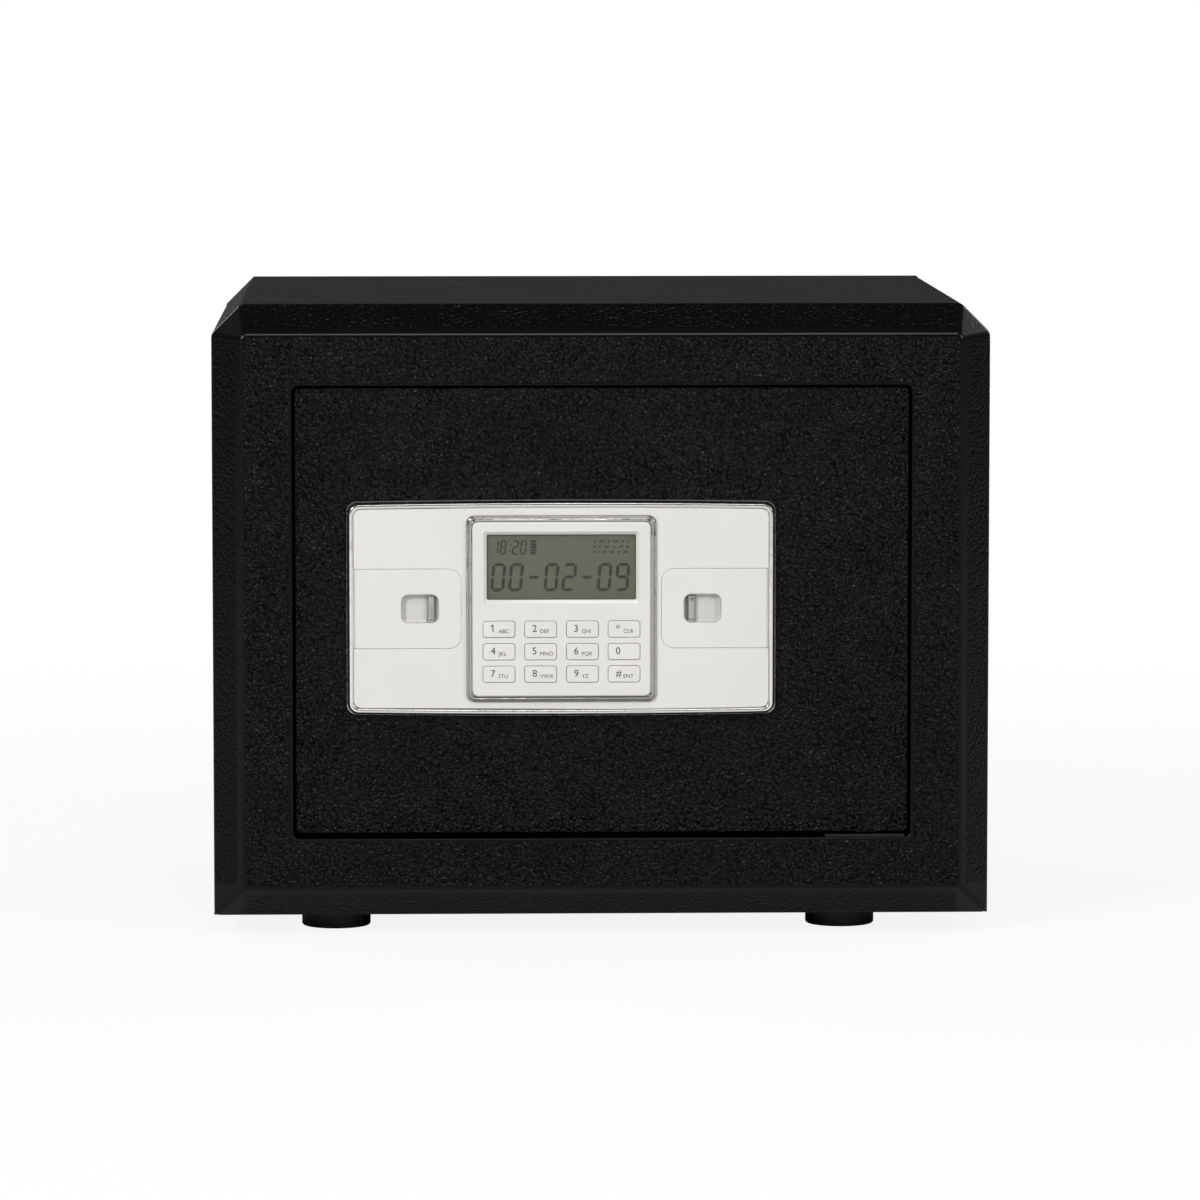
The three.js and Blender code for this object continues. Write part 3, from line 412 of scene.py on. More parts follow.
def felt(nodes):
    """Needle felt: a mat of fibres in two crossed directions, tufted on a scale of some millimetres."""
    across = nodes.noise(nodes.place((1, 0.16, 1)), 2400, 3, 0.6, 1.2)
    along = nodes.noise(nodes.place((0.16, 1, 1)), 2400, 3, 0.6, 1.2)
    tufts = nodes.noise(nodes.place(), 190, 3)
    fibres = across | along
    nodes.surface({
        "Base Color": nodes.blend(nodes.ramp(fibres * 0.7 + tufts * 0.3, 0.35, 0.75),
                                  opaque((0.012, 0.012, 0.013)), opaque((0.06, 0.06, 0.064))),
        "Roughness": 0.95, "Specular IOR Level": 0.15, "Sheen Weight": 0.25,
        "Normal": nodes.bump(fibres + tufts, 0.8, 0.0008)})


def clear_window(nodes):
    """Polished acrylic, nearly all let through, with a trace of dust in its gloss."""
    dust = nodes.noise(nodes.place(), 700, 3)
    nodes.surface({
        "Base Color": opaque((0.3, 0.3, 0.29)), "Roughness": nodes.ramp(dust, 0.4, 0.8, 0.05, 0.12),
        "Specular IOR Level": 0.2, "Alpha": nodes.ramp(dust, 0.3, 0.8, 0.02, 0.04)})


def liquid_crystal(nodes):
    """Olive grey glass of the display, slightly uneven."""
    here = nodes.place()
    clouds = nodes.noise(here, 26, 2)
    cells = nodes.noise(here, 4200, 1)
    nodes.surface({
        "Base Color": nodes.blend(nodes.ramp(clouds * 0.8 + cells * 0.2, 0.3, 0.7),
                                  opaque("display", 0.96), opaque("display", 1.03)),
        "Roughness": 0.6, "Specular IOR Level": 0.1, "Normal": nodes.bump(cells, 0.02, 0.00005)})


def circuit_board(nodes):
    """Green solder mask over copper runs: thin bands of a stretched noise stand a little proud."""
    runs = nodes.noise(nodes.place((1, 1, 0.25)), 420, 0)
    copper = nodes.ramp(runs, 0.47, 0.49) * nodes.ramp(runs, 0.51, 0.53, 1.0, 0.0)
    nodes.surface({
        "Base Color": nodes.blend(copper, opaque((0.012, 0.085, 0.035)), opaque((0.03, 0.17, 0.07))),
        "Roughness": 0.35, "Normal": nodes.bump(copper, 0.4, 0.00004)})


SLOT_FINISHES = {finish.__name__: finish for finish in (
    wrinkle_black, zinc_plate, bright_steel, black_zinc, chrome_trim, bolt_chrome, brass, pearl_silver,
    rubber_black, black_plastic, red_plastic, cell_wrap, felt, clear_window, liquid_crystal, circuit_board)}


def material(finish):
    """The material of a finish, made when it is first asked for, under a name the frame doesn't use."""
    name = f"{finish.__name__}_finish"
    if name not in bpy.data.materials:
        made = bpy.data.materials.new(name)
        made.use_nodes = True
        finish(Nodes(made.node_tree))
    return bpy.data.materials[name]


# Shapes. Points are (x, y, z) in millimetres; an outline lies in the door's plane as (x, z).


def unit(vectors):
    return vectors / np.maximum(np.linalg.norm(vectors, axis=-1, keepdims=True), 1e-9)


def soften(path, radii, steps=4):
    """Rounds the corners of a closed path that runs along the first axis of an array of points.

    Each corner becomes an arc: a rational quadratic from the point r / tan(a / 2) before the corner to the
    point as far past it, with the corner as its middle point at weight sin(a / 2). Here r is the radius and
    a the corner's angle.
    """
    path = np.asarray(path, float)
    tail = (1,) * (path.ndim - 1)
    radii = np.broadcast_to(radii, len(path)).reshape((-1,) + tail)
    before = unit(np.roll(path, 1, 0) - path)
    after = unit(np.roll(path, -1, 0) - path)
    cosine = np.clip((before * after).sum(-1, keepdims=True), -1, 1)
    reach = radii * np.sqrt((1 + cosine) / np.maximum(1 - cosine, 1e-9))
    weight = np.sqrt((1 - cosine) / 2)[:, None]
    share = np.linspace(0, 1, steps + 1).reshape((1, -1) + tail)
    shares = ((1 - share) ** 2, 2 * share * (1 - share) * weight, share ** 2)
    points = (path + before * reach, path, path + after * reach)
    arcs = sum(s * p[:, None] for s, p in zip(shares, points)) / sum(shares)
    return arcs.reshape((-1,) + path.shape[1:])


def outline(low, high, corner, fill=0, steps=6, bow=0.0):
    """Rounded rectangle between two (x, z) corners, from the lower right round the upper right.

    corner is one radius, or four in that order. fill adds points along each straight side, and bow swells the
    top and bottom: z moves by bow * (1 - u * u) * w, with u and w running from -1 to 1 over width and height.
    """
    (x0, z0), (x1, z1) = low, high
    arcs = soften([[x1, z0], [x1, z1], [x0, z1], [x0, z0]], corner, steps).reshape(4, steps + 1, 2)
    share = np.linspace(0, 1, fill + 2)[1:-1, None]
    runs = arcs[:, -1:] * (1 - share) + np.roll(arcs, -1, 0)[:, :1] * share
    points = np.concatenate([arcs, runs], 1).reshape(-1, 2)
    middle = np.array([x0 + x1, z0 + z1]) / 2
    across, up = ((points - middle) / (np.array([x1 - x0, z1 - z0]) / 2)).T
    points[:, 1] += bow * (1 - across ** 2) * up
    return points


def grown(low, high, by):
    """A rectangle's corners moved out on every side."""
    return np.subtract(low, by), np.add(high, by)


def lift(points, depth, axis=1):
    """Flat points at a depth along an axis."""
    return np.insert(points, axis, depth, 1)


def skin(rows, ring=False):
    """Surface over closed loops: a quad between neighbours of two loops, and a cap on the first and last loop
    or, on a ring, a strip from the last loop back to the first."""
    loops, count = rows.shape[:2]
    i = np.arange(loops if ring else loops - 1)[:, None]
    j = np.arange(count)[None]
    after = (j + 1) % count
    below = (i + 1) % loops * count
    quads = np.stack(np.broadcast_arrays(i * count + j, i * count + after, below + after, below + j), -1)
    faces = [quads.reshape(-1, 4)]
    if not ring:
        faces += [np.arange(count)[None, ::-1], np.arange(count)[None] + (loops - 1) * count]
    return rows.reshape(-1, 3), faces


def lathe(profile, centre, axis, segments=48):
    """A profile of rows (radius, place along the axis, radius of the edge there), turned about the axis: the
    two other coordinates are the radius times cosine and sine of the turn."""
    corners = np.array(profile, float)
    radius, along = soften(corners[:, :2], corners[:, 2]).T
    turn = np.linspace(0, 2 * math.pi, segments, endpoint=False)
    flat = radius[:, None, None] * np.stack([np.cos(turn), np.sin(turn)], -1)
    rows = np.insert(flat, axis, np.broadcast_to(along[:, None], flat.shape[:2]), 2)
    return skin(rows + centre)


def plate(low, high, corner, depth, edges, axis=1, steps=6):
    """A rounded rectangle between two depths. Each rim is rounded by its own radius of edges."""
    inset = min(high[0] - low[0], high[1] - low[1]) / 2 * 0.8
    loops = [
        lift(outline(*grown(low, high, -shrink), max(corner - shrink, 0.05), steps=steps), place, axis)
        for shrink, place in ((inset, depth[0]), (0, depth[0]), (0, depth[1]), (inset, depth[1]))]
    return skin(soften(np.stack(loops), (0, edges[0], edges[1], 0)))


def wall(rows, ring=False, fill=0, bow=0.0):
    """Surface over loops in the door's plane. A row gives a rectangle's two corners, its growth, its corner
    radius, its depth and the radius of the edge there."""
    loops = [
        lift(outline(*grown(low, high, by), corner, fill, bow=bow), depth)
        for low, high, by, corner, depth, _ in rows]
    return skin(soften(np.stack(loops), [row[-1] for row in rows]), ring)


def prisms(polygons, front, rear):
    """Flat polygons of equal count, (k, n, 2), each a closed prism between two depths."""
    count = polygons.shape[1]
    points = np.stack([np.insert(polygons, 1, depth, 2) for depth in (front, rear)], 1)
    start = np.arange(len(polygons))[:, None] * 2 * count
    j = np.arange(count)[None]
    after = (j + 1) % count
    sides = np.stack([start + j, start + after, start + count + after, start + count + j], -1)
    return points.reshape(-1, 3), [sides.reshape(-1, 4), start + j[:, ::-1], start + count + j]


def mesh_of(name, surfaces):
    """One mesh of several surfaces, with doubles merged and all faces pointing out."""
    points, faces, start = [], [], 0
    for surface_points, surface_faces in surfaces:
        points.append(surface_points)
        for group in surface_faces:
            faces += (group + start).tolist()
        start += len(surface_points)
    mesh = bpy.data.meshes.new(name)
    mesh.from_pydata((np.concatenate(points) * MM).tolist(), [], faces)
    work = bmesh.new()
    work.from_mesh(mesh)
    bmesh.ops.remove_doubles(work, verts=work.verts, dist=MERGE)
    bmesh.ops.recalc_face_normals(work, faces=work.faces)
    work.to_mesh(mesh)
    work.free()
    return mesh


def put(name, mesh, finish, slot, body, replaces=(), edge=0.0, segments=2):
    """Makes an object of a mesh, rounds its edges if a radius is given, and lets it ride on a body."""
    piece = bpy.data.objects.new(name, mesh)
    bpy.context.scene.collection.objects.link(piece)
    mesh.materials.clear()
    mesh.materials.append(material(finish))
    mesh.shade_smooth()
    mesh.set_sharp_from_angle(angle=SHARP_TURN)
    if edge:
        bevel = piece.modifiers.new("Rounded edges", "BEVEL")
        bevel.width = edge * MM
        bevel.segments = segments
        bevel.limit_method = "ANGLE"
        bevel.angle_limit = SHARP_TURN
        bevel.harden_normals = True
    else:
        weights = piece.modifiers.new("Even shading", "WEIGHTED_NORMAL")
        weights.keep_sharp = True
    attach(piece, body)
    if replaces:
        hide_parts(*replaces)
    return piece


def body_name(node):
    """The body that a CAD node belongs to."""
    for body, members in frame["record"]["behaviour"]["bodies"].items():
        if node in members:
            return body
    raise RuntimeError(f"no body holds {node}")


def slot_name(node):
    """The record's material slot of a CAD node."""
    for row in frame["record"]["subparts"]:
        if row["node"] == node:
            return row["material_slot"]
    raise RuntimeError(f"the record has no piece {node}")


def extent(node):
    """A CAD node's lowest and highest corners in millimetres."""
    low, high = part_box(node)
    return np.array(low) / MM, np.array(high) / MM


def stand_in(node, mesh, finish=None, **more):
    """A piece that stands for a CAD node, with the finish of the node's slot unless another is given, and on
    its body.
    """
    slot = slot_name(node)
    chosen = finish or SLOT_FINISHES[slot]
    return put(f"{node}_finished", mesh, chosen, slot, body_name(node), (node,), **more)


def replace(node, surfaces, finish=None, **more):
    """A new piece of surfaces that stands for a CAD node."""
    return stand_in(node, mesh_of(node, surfaces), finish, **more)


def refine(node, edge, segments=2, finish=None):
    """A copy of a CAD node with its doubles merged, its flat facets joined and its corners rounded."""
    mesh = frame["nodes"][node].data.copy()
    work = bmesh.new()
    work.from_mesh(mesh)
    bmesh.ops.remove_doubles(work, verts=work.verts, dist=MERGE)
    bmesh.ops.dissolve_limit(
        work, angle_limit=FLAT_TURN, use_dissolve_boundaries=False, verts=work.verts, edges=work.edges)
    work.to_mesh(mesh)
    work.free()
    return stand_in(node, mesh, finish, edge=edge, segments=segments)


CAP_SHARE = 0.73  # height of the font's digits at size 1


def lettering(text, height, spot, depth, proud):
    """Text as a thin closed solid in the door's plane, its lower left at a spot, proud of a depth."""
    curve = bpy.data.curves.new("lettering", "FONT")
    curve.body = text
    curve.resolution_u = 3
    curve.extrude = 0.5
    holder = bpy.data.objects.new("lettering", curve)
    bpy.context.scene.collection.objects.link(holder)
    graph = bpy.context.evaluated_depsgraph_get()
    made = bpy.data.meshes.new_from_object(holder.evaluated_get(graph))
    points = np.empty(len(made.vertices) * 3)
    made.vertices.foreach_get("co", points)
    points = points.reshape(-1, 3)
    scale = height / CAP_SHARE
    placed = np.stack([
        spot[0] + (points[:, 0] - points[:, 0].min()) * scale,
        np.where(points[:, 2] > 0, depth - proud, depth + proud),
        spot[1] + points[:, 1] * scale], -1)
    corners = [np.array([tuple(face.vertices)]) for face in made.polygons]
    bpy.data.objects.remove(holder)
    bpy.data.curves.remove(curve)
    bpy.data.meshes.remove(made)
    return placed, corners


SCREW_SOCKET = 0.46  # across the corners of the hexagon socket, as a share of the head


def screw(spot, radius, height):
    """A button-head screw on a face that looks to the rear: domed head and hexagon socket.

    The head's loops are circles; a socket loop at turn t has the radius a / cos(t folded into one sixth)."""
    turn = np.linspace(0, 2 * math.pi, 48, endpoint=False)
    circle = np.stack([np.cos(turn), np.sin(turn)], -1)
    fold = np.abs((turn + math.pi / 6) % (math.pi / 3) - math.pi / 6)
    hexagon = circle * (math.cos(math.pi / 6) / np.cos(fold))[:, None]
    swell = np.linspace(0, math.pi / 2, 6)[:-1]
    rows = [lift(circle * radius * math.cos(a) ** 0.5, math.sin(a) * height) for a in swell]
    rows += [lift(hexagon * radius * SCREW_SOCKET, h) for h in (height, height * 0.25)]
    rows = np.stack([lift(circle * radius, -height / 2)] + rows)
    return skin(rows + spot)


# Operators, one for each piece or group of like pieces


WHITE = 1.0  # strength at which the camera sees pure white
FLOOR_GREY = 0.78
FLOOR_REACH = 6.0  # metres from the middle to a side of the floor
FLOOR_WHITENS = (0.3, 1.3)  # metres from the middle, between which the camera sees it turn to white
FLOOR_SHARE = (0.88, 1.0)  # of white in what the camera sees of the floor at those two places
LAMP_AIM = (0, 0, 0.16)  # the middle of the safe
LAMPS = (  # name, place in metres, size, share of the lamp power
    ("key_lamp", (-1.8, -2.5, 1.7), 0.8, 1.0),
    ("fill_lamp", (2.1, -2.3, 1.3), 1.1, 0.5),
    ("top_lamp", (0.1, -1.7, 2.6), 0.9, 0.3),
    ("rear_right_lamp", (2.6, 1.5, 1.7), 1.1, 0.42),
    ("rear_left_lamp", (-2.4, 2.1, 1.7), 1.1, 0.42),
)


class SAFE_OT_stage(Operator):
    """Set up the floor, the room light, the lamps and the camera"""

    bl_idname = "safe.stage"
    bl_label = "Stage"

    def execute(self, context):
        studio = context.scene.safe_studio
        self.camera(context, studio)
        self.floor(context)
        self.world(context, studio)
        for name, place, size, share in LAMPS:
            self.lamp(context, name, Vector(place), size, share * studio.lamp_power)
        context.scene.view_settings.view_transform = "Standard"
        return {"FINISHED"}

    def camera(self, context, studio):
        data = bpy.data.cameras.new("camera")
        data.lens = studio.focal_length
        data.clip_end = 100
        camera = bpy.data.objects.new("camera", data)
        camera.location = studio.camera_place
        camera.rotation_euler = Euler((math.pi / 2 - studio.camera_pitch, 0, -studio.camera_yaw))
        context.scene.collection.objects.link(camera)
        context.scene.camera = camera

    def floor(self, context):
        """A pale square. The camera sees it lighter than the lamps make it, and white far from the safe."""
        corners = [(x * FLOOR_REACH, y * FLOOR_REACH, 0) for x, y in ((-1, -1), (1, -1), (1, 1), (-1, 1))]
        mesh = bpy.data.meshes.new("floor")
        mesh.from_pydata(corners, [], [(0, 1, 2, 3)])
        floor = bpy.data.objects.new("floor", mesh)
        context.scene.collection.objects.link(floor)
        paint = bpy.data.materials.new("studio_floor")
        paint.use_nodes = True
        mesh.materials.append(paint)
        nodes = Nodes(paint.node_tree)
        plain = nodes.node("ShaderNodeBsdfDiffuse", sockets={"Color": opaque((FLOOR_GREY,) * 3)})
        bright = nodes.node("ShaderNodeEmission", sockets={"Color": (1, 1, 1, 1), "Strength": WHITE})
        here = nodes.node("ShaderNodeTexCoord", output="Object")
        away = nodes.node("ShaderNodeVectorMath", {"operation": "LENGTH"}, {0: here}, "Value")
        share = nodes.ramp(away, *FLOOR_WHITENS, *FLOOR_SHARE)
        looks = self.ray(nodes, "Camera") | self.ray(nodes, "Transmission")
        mixed = nodes.node("ShaderNodeMixShader", sockets={0: looks * share, 1: plain, 2: bright})
        nodes.end("ShaderNodeOutputMaterial", mixed)

    def ray(self, nodes, kind):
        """1 for rays of a kind, or else 0."""
        return nodes.node("ShaderNodeLightPath", output=f"Is {kind} Ray")

    def world(self, context, studio):
        """Even light from all round, which the camera sees as white and glossy surfaces mirror brighter."""
        world = bpy.data.worlds.new("studio")
        context.scene.world = world
        world.use_nodes = True
        nodes = Nodes(world.node_tree)
        looks = self.ray(nodes, "Camera") | self.ray(nodes, "Transmission")
        mirrors = self.ray(nodes, "Glossy")
        strength = (
            looks * (WHITE - studio.ambient) + mirrors * (studio.mirrored - studio.ambient) + studio.ambient)
        light = nodes.node("ShaderNodeBackground", sockets={"Color": (1, 1, 1, 1), "Strength": strength})
        nodes.end("ShaderNodeOutputWorld", light)

    def lamp(self, context, name, place, size, power):
        """A square soft lamp turned towards the safe."""
        data = bpy.data.lights.new(name, "AREA")
        data.size = size
        data.energy = power
        lamp = bpy.data.objects.new(name, data)
        lamp.location = place
        lamp.rotation_euler = (Vector(LAMP_AIM) - place).to_track_quat("-Z", "Y").to_euler()
        context.scene.collection.objects.link(lamp)


CHAMFER_SHARE = 2 - math.sqrt(2)  # of a round corner's radius, how far its two tangents' cut reaches
FOLD_SKEW = math.sqrt(2) - 1  # of a sheet's thickness, how far a 45 degree fold's inner line is off its outer


def eight(half, low, high, cuts, radii):
    """Loop with eight corners: a rectangle whose lower and upper corners are cut at 45 degrees by cuts and
    rounded by radii. A plain round corner of radius r is a cut of 0.586 r rounded by r."""
    (lower, upper), (round_low, round_high) = cuts, radii
    corners = [
        (half - lower, low), (half, low + lower), (half, high - upper), (half - upper, high),
        (upper - half, high), (-half, high - upper), (-half, low + lower), (lower - half, low)]
    return soften(corners, [round_low] * 2 + [round_high] * 4 + [round_low] * 2)


def rounded(radius):
    """The cuts and the radii that give a loop plain round corners."""
    return (CHAMFER_SHARE * radius,) * 2, (radius,) * 2


COAT = 0.25  # thickness of the powder on the door's and the opening's edges
FRAME_LAP = 1.2  # how far the front frame's folded edge runs back in front of the body sheet
OPENING_CORNER = 3.0
RETURN_DEPTH = 14.0  # of the fold that runs in round the opening, from the frame's front
MAT_CORNER = 6.0
PLUG_LIP = 2.1  # how far the head of an anchor plug stands out beyond its stem
PLUG_STEM = 2.0  # length of the stem


class SAFE_OT_body(Operator):
    """Make the body sheet, the front frame, the walls, the shelf and the mat"""

    bl_idname = "safe.body"
    bl_label = "Body"

    def execute(self, context):
        size = sizes()
        self.front_frame(size)
        self.wrapper(size)
        self.mat()
        self.plugs()
        refine("back_plate", 0.4, finish=satin_black)
        refine("base_plate", 0.4, finish=satin_black)
        refine("shelf", 0.35, finish=satin_black)
        return {"FINISHED"}

    def front_frame(self, size):
        """A closed section carried round the opening: bevel, flat ring, return and their inner faces."""
        low, high = extent("front_frame")
        half, bottom, top = high[0], low[2], high[2]
        front, rear = low[1], high[1]
        bevel = rear - front
        ring, sheet, bend = bevel + size["frame_ring"] + COAT, size["frame_sheet"], size["bend"]
        skew = sheet * FOLD_SKEW
        back = front + RETURN_DEPTH
        fold = ((CHAMFER_SHARE * bend, bevel), (bend, 2 * bend))
        outer, inner = rounded(OPENING_CORNER), rounded(OPENING_CORNER + sheet)
        rows = [  # how far in, the cuts and radii of the corners, how deep, and how rounded there
            (0, *fold, rear + FRAME_LAP, 0.15), (0, *fold, rear, bend), (bevel, *rounded(bend), front, bend),
            (ring, *outer, front, 0.8), (ring, *outer, back, 0.4), (ring - sheet, *inner, back, 0.4),
            (ring - sheet, *inner, front + sheet, 1), (bevel + skew, *rounded(1), front + sheet, 1),
            (sheet, (CHAMFER_SHARE, bevel), (1, 2), rear + FRAME_LAP, 0.15)]
        loops = [
            lift(eight(half - inset, bottom + inset, top - inset, cuts, radii), depth)
            for inset, cuts, radii, depth, _ in rows]
        section = soften(np.stack(loops), [row[-1] for row in rows])
        replace("front_frame", [skin(section, ring=True)], finish=frame_black)

    def wrapper(self, size):
        """The folded body sheet: its section carried straight back."""
        low, high = extent("body_wrapper")
        half, bottom, top = high[0], low[2], high[2]
        frame_low, frame_high = extent("front_frame")
        bevel = frame_high[1] - frame_low[1]
        sheet, bend = size["body_sheet"], size["bend"]
        outer = self.hood(half, bottom, top, bevel)
        inner = self.hood(half - sheet, bottom, top - sheet, bevel - sheet + sheet * FOLD_SKEW)[::-1]
        radii = [0.2] + [2 * bend] * 4 + [0.2] * 2 + [bend] * 4 + [0.2]
        section = soften(outer + inner, radii)
        rows = np.stack([lift(section, depth) for depth in (low[1] + FRAME_LAP, high[1])])
        replace("body_wrapper", [skin(rows)], finish=satin_black, edge=0.15)

    def hood(self, half, bottom, top, cut):
        """The line over both sides and the top, with its upper corners cut at 45 degrees."""
        return [
            (-half, bottom), (-half, top - cut), (cut - half, top), (half - cut, top), (half, top - cut),
            (half, bottom)]

    def mat(self):
        """The felt mat, cut a little round at its corners and worn round along its upper edge."""
        low, high = extent("floor_mat")
        surface = plate(low[:2], high[:2], MAT_CORNER, (low[2], high[2]), (0.2, 1.2), axis=2)
        mat = replace("floor_mat", [surface])

    def plugs(self):
        """Anchor plugs: a stem in the hole, a flat head inside and a dimple in both ends."""
        for node in ("anchor_plug_1", "anchor_plug_2"):
            low, high = extent(node)
            head, centre = (high[0] - low[0]) / 2, (low + high) / 2
            stem = head - PLUG_LIP
            inner = high[1] - PLUG_STEM
            profile = [
                (0, low[1] + 0.5, 0), (stem * 0.6, low[1] + 0.5, 0.3), (stem * 0.7, low[1], 0.3),
                (head, low[1], 0.6), (head, inner, 0.2), (stem, inner, 0.2), (stem, high[1], 0.4),
                (stem * 0.7, high[1], 0.3), (stem * 0.6, high[1] - 0.6, 0.3), (0, high[1] - 0.6, 0)]
            replace(node, [lathe(profile, (centre[0], 0, centre[2]), 1)])


FOOT_STEM = 4.0  # radius of the part that goes through the base plate
FOOT_SCREW = [  # radius, height over the ground and edge radius of the screw in the foot's recess
    (0, 2.6, 0), (1.6, 2.6, 0.1), (1.6, 1.2, 0.2), (4.2, 1.9, 0.5), (4.2, 4.4, 0.1), (0, 4.4, 0)]


class SAFE_OT_feet(Operator):
    """Make the four round rubber feet, each with its screw in a recess"""

    bl_idname = "safe.feet"
    bl_label = "Feet"

    def execute(self, context):
        for end in ("front", "rear"):
            for side in ("left", "right"):
                self.foot(f"foot_{end}_{side}")
        return {"FINISHED"}

    def foot(self, node):
        low, high = extent(node)
        centre, radius = (low + high) / 2, (high[0] - low[0]) / 2
        top = extent("base_plate")[0][2]
        profile = [
            (0, 4, 0), (5.5, 4, 0.8), (6, 0.6, 0.8), (8, 0, 0.6), (radius - 0.7, 0, 0.4), (radius, 0.7, 0.4),
            (radius, top - 2.4, 0.3), (radius - 0.6, top - 2.1, 0.1), (radius - 0.6, top, 0.3),
            (FOOT_STEM, top, 0.1), (FOOT_STEM, high[2], 0.3), (0, high[2], 0)]
        place = (centre[0], centre[1], 0)
        replace(node, [lathe(profile, place, 2)])
        put(f"{node}_screw", mesh_of("screw", [lathe(FOOT_SCREW, place, 2)]), zinc_plate, "zinc_plate",
            body_name(node))


DOOR_CORNER = 3.0  # what lies this close to the door's outline moves out with the coat
COVER_SCREW = (2.5, 1.5)  # radius and height of a head
COVER_FLANGE = 3.0  # from the cover's edge to the middle of a screw
COVER_SHEET = 1.2


class SAFE_OT_door(Operator):
    """Make the door plate, the cover behind it with its screws, and the hinge"""

    bl_idname = "safe.door"
    bl_label = "Door and hinge"

    def execute(self, context):
        self.thicken(refine("door_plate", sizes()["coat_edge"], 3).data)
        refine("door_back_cover", 0.45, finish=satin_black)
        for node in ("hinge_pin_upper", "hinge_pin_lower", "hinge_plate_upper", "hinge_plate_lower"):
            refine(node, 0.35)
        self.screws()
        return {"FINISHED"}

    def thicken(self, mesh):
        """Moves the door's outer edges out by the thickness of the coat."""
        points = np.empty(len(mesh.vertices) * 3)
        mesh.vertices.foreach_get("co", points)
        points = points.reshape(-1, 3)
        low, high = points.min(0), points.max(0)
        middle, reach = (low + high) / 2, (high - low) / 2
        away = (points - middle) * (1, 0, 1)
        points += np.sign(away) * (np.abs(away) > reach - DOOR_CORNER * MM) * COAT * MM
        mesh.vertices.foreach_set("co", points.ravel())
        mesh.update()

    def screws(self):
        """Three screws along the top and bottom flanges of the cover and one at the middle of each side."""
        low, high = extent("door_back_cover")
        edge, face = COVER_FLANGE, low[1] + COVER_SHEET
        across = np.linspace(low[0] + 4 * edge, high[0] - 4 * edge, 3)
        spots = [(x, face, z) for x in across for z in (low[2] + edge, high[2] - edge)]
        spots += [(x, face, (low[2] + high[2]) / 2) for x in (low[0] + edge, high[0] - edge)]
        surfaces = [screw(spot, *COVER_SCREW) for spot in spots]
        put("cover_screws", mesh_of("cover_screws", surfaces), zinc_plate, "zinc_plate", "door")


PANEL_BOW = 0.9  # how far the middle of the panel's top and bottom swells
PANEL_CORNER = 5.0
POCKET = (50.905, 99.0, 17.25)  # near and far side from the panel's middle, and half the height
POCKET_FLOOR = -142.2  # place along Y
POCKET_SHEET = 1.2
POCKET_CORNER = 4.0
SEAT = (44.0, 101.0, 48.4)  # of the flap's seat round the pocket, measured in the same way
SEAT_CORNER = 3.0


class SAFE_OT_panel(Operator):
    """Make the plated rim of the lock panel, its two pockets and its face sheet"""

    bl_idname = "safe.panel"
    bl_label = "Lock panel"

    def execute(self, context):
        low, high = extent("panel_base")
        door_front, front = extent("door_plate")[0][1], low[1]
        corners = low[[0, 2]] + (0, PANEL_BOW), high[[0, 2]] - (0, PANEL_BOW)
        section = [  # how far in, how deep, and how rounded there
            (0, door_front, 0.1), (0, door_front - 0.5, 0.2), (0.4, door_front - 0.9, 0.3),
            (1.2, front + 0.8, 0.4), (1.6, front + 0.12, 0.3), (2.3, front, 1.0),
            (2.95, front + 0.06, 0.4), (3.2, front + 0.5, 0.1), (3.4, front + 0.5, 0.05),
            (3.4, door_front, 0.1)]
        rows = [(*corners, -inset, PANEL_CORNER - inset / 2, depth, edge) for inset, depth, edge in section]
        rim = wall(rows, ring=True, fill=14, bow=PANEL_BOW)
        pockets = [self.pocket(side, corners, door_front) for side in (-1, 1)]
        replace("panel_base", [rim] + pockets)
        refine("panel_face", 0.12)
        return {"FINISHED"}

    def pocket(self, side, corners, door_front):
        """The seat on one side of the panel and the pocket sunk in it, as one closed wall."""
        middle = (corners[0] + corners[1]) / 2
        seat = extent("panel_face")[1][1]
        pocket, outer = (
            (np.array([min(side * near, side * far), -half]) + middle,
             np.array([max(side * near, side * far), half]) + middle)
            for near, far, half in (POCKET, SEAT))
        floor, sheet, corner = POCKET_FLOOR, POCKET_SHEET, POCKET_CORNER
        return wall([
            (*pocket, -12, 0.5, floor + sheet, 0), (*pocket, sheet, corner + sheet, floor + sheet, 1.6),
            (*pocket, sheet, corner + sheet, door_front, 0.3), (*outer, 0, SEAT_CORNER, door_front, 0.2),
            (*outer, 0, SEAT_CORNER, seat, 0.2), (*pocket, 0, corner, seat, 0.5),
            (*pocket, 0, corner, floor, 0.9), (*pocket, -12, 0.5, floor, 0)])


FLAP_GROWTH = 0.13  # on every side, so that only a hair line is left round the flap
FLAP_HEIGHT = 38.5
FLAP_CORNER = 6.0
FLAP_SHEET = 2.0
KNUCKLE = 1.3  # radius, and how far the flap's axis lies behind its face
STUB = 0.7  # radius of the stubs that the flap turns on
DISH_FROM_FREE = 10.9  # from the flap's free end
DISH = (17.9, 13.6)
DISH_CORNER = 3.2
DISH_DEPTH = 3.3
DISH_SHEET = 0.8
DISH_GAP = 0.24  # by which the flap's opening is larger than the dish
BAR_RADII = (1.9, 1.72)  # of the finger bar's collars and of the bar between them
BAR_OVAL = 1.2  # how much wider than deep
BAR_FROM_END = 3.5  # from the dish's end
BAR_OVER_FLOOR = 0.95
FLUTE = 0.05


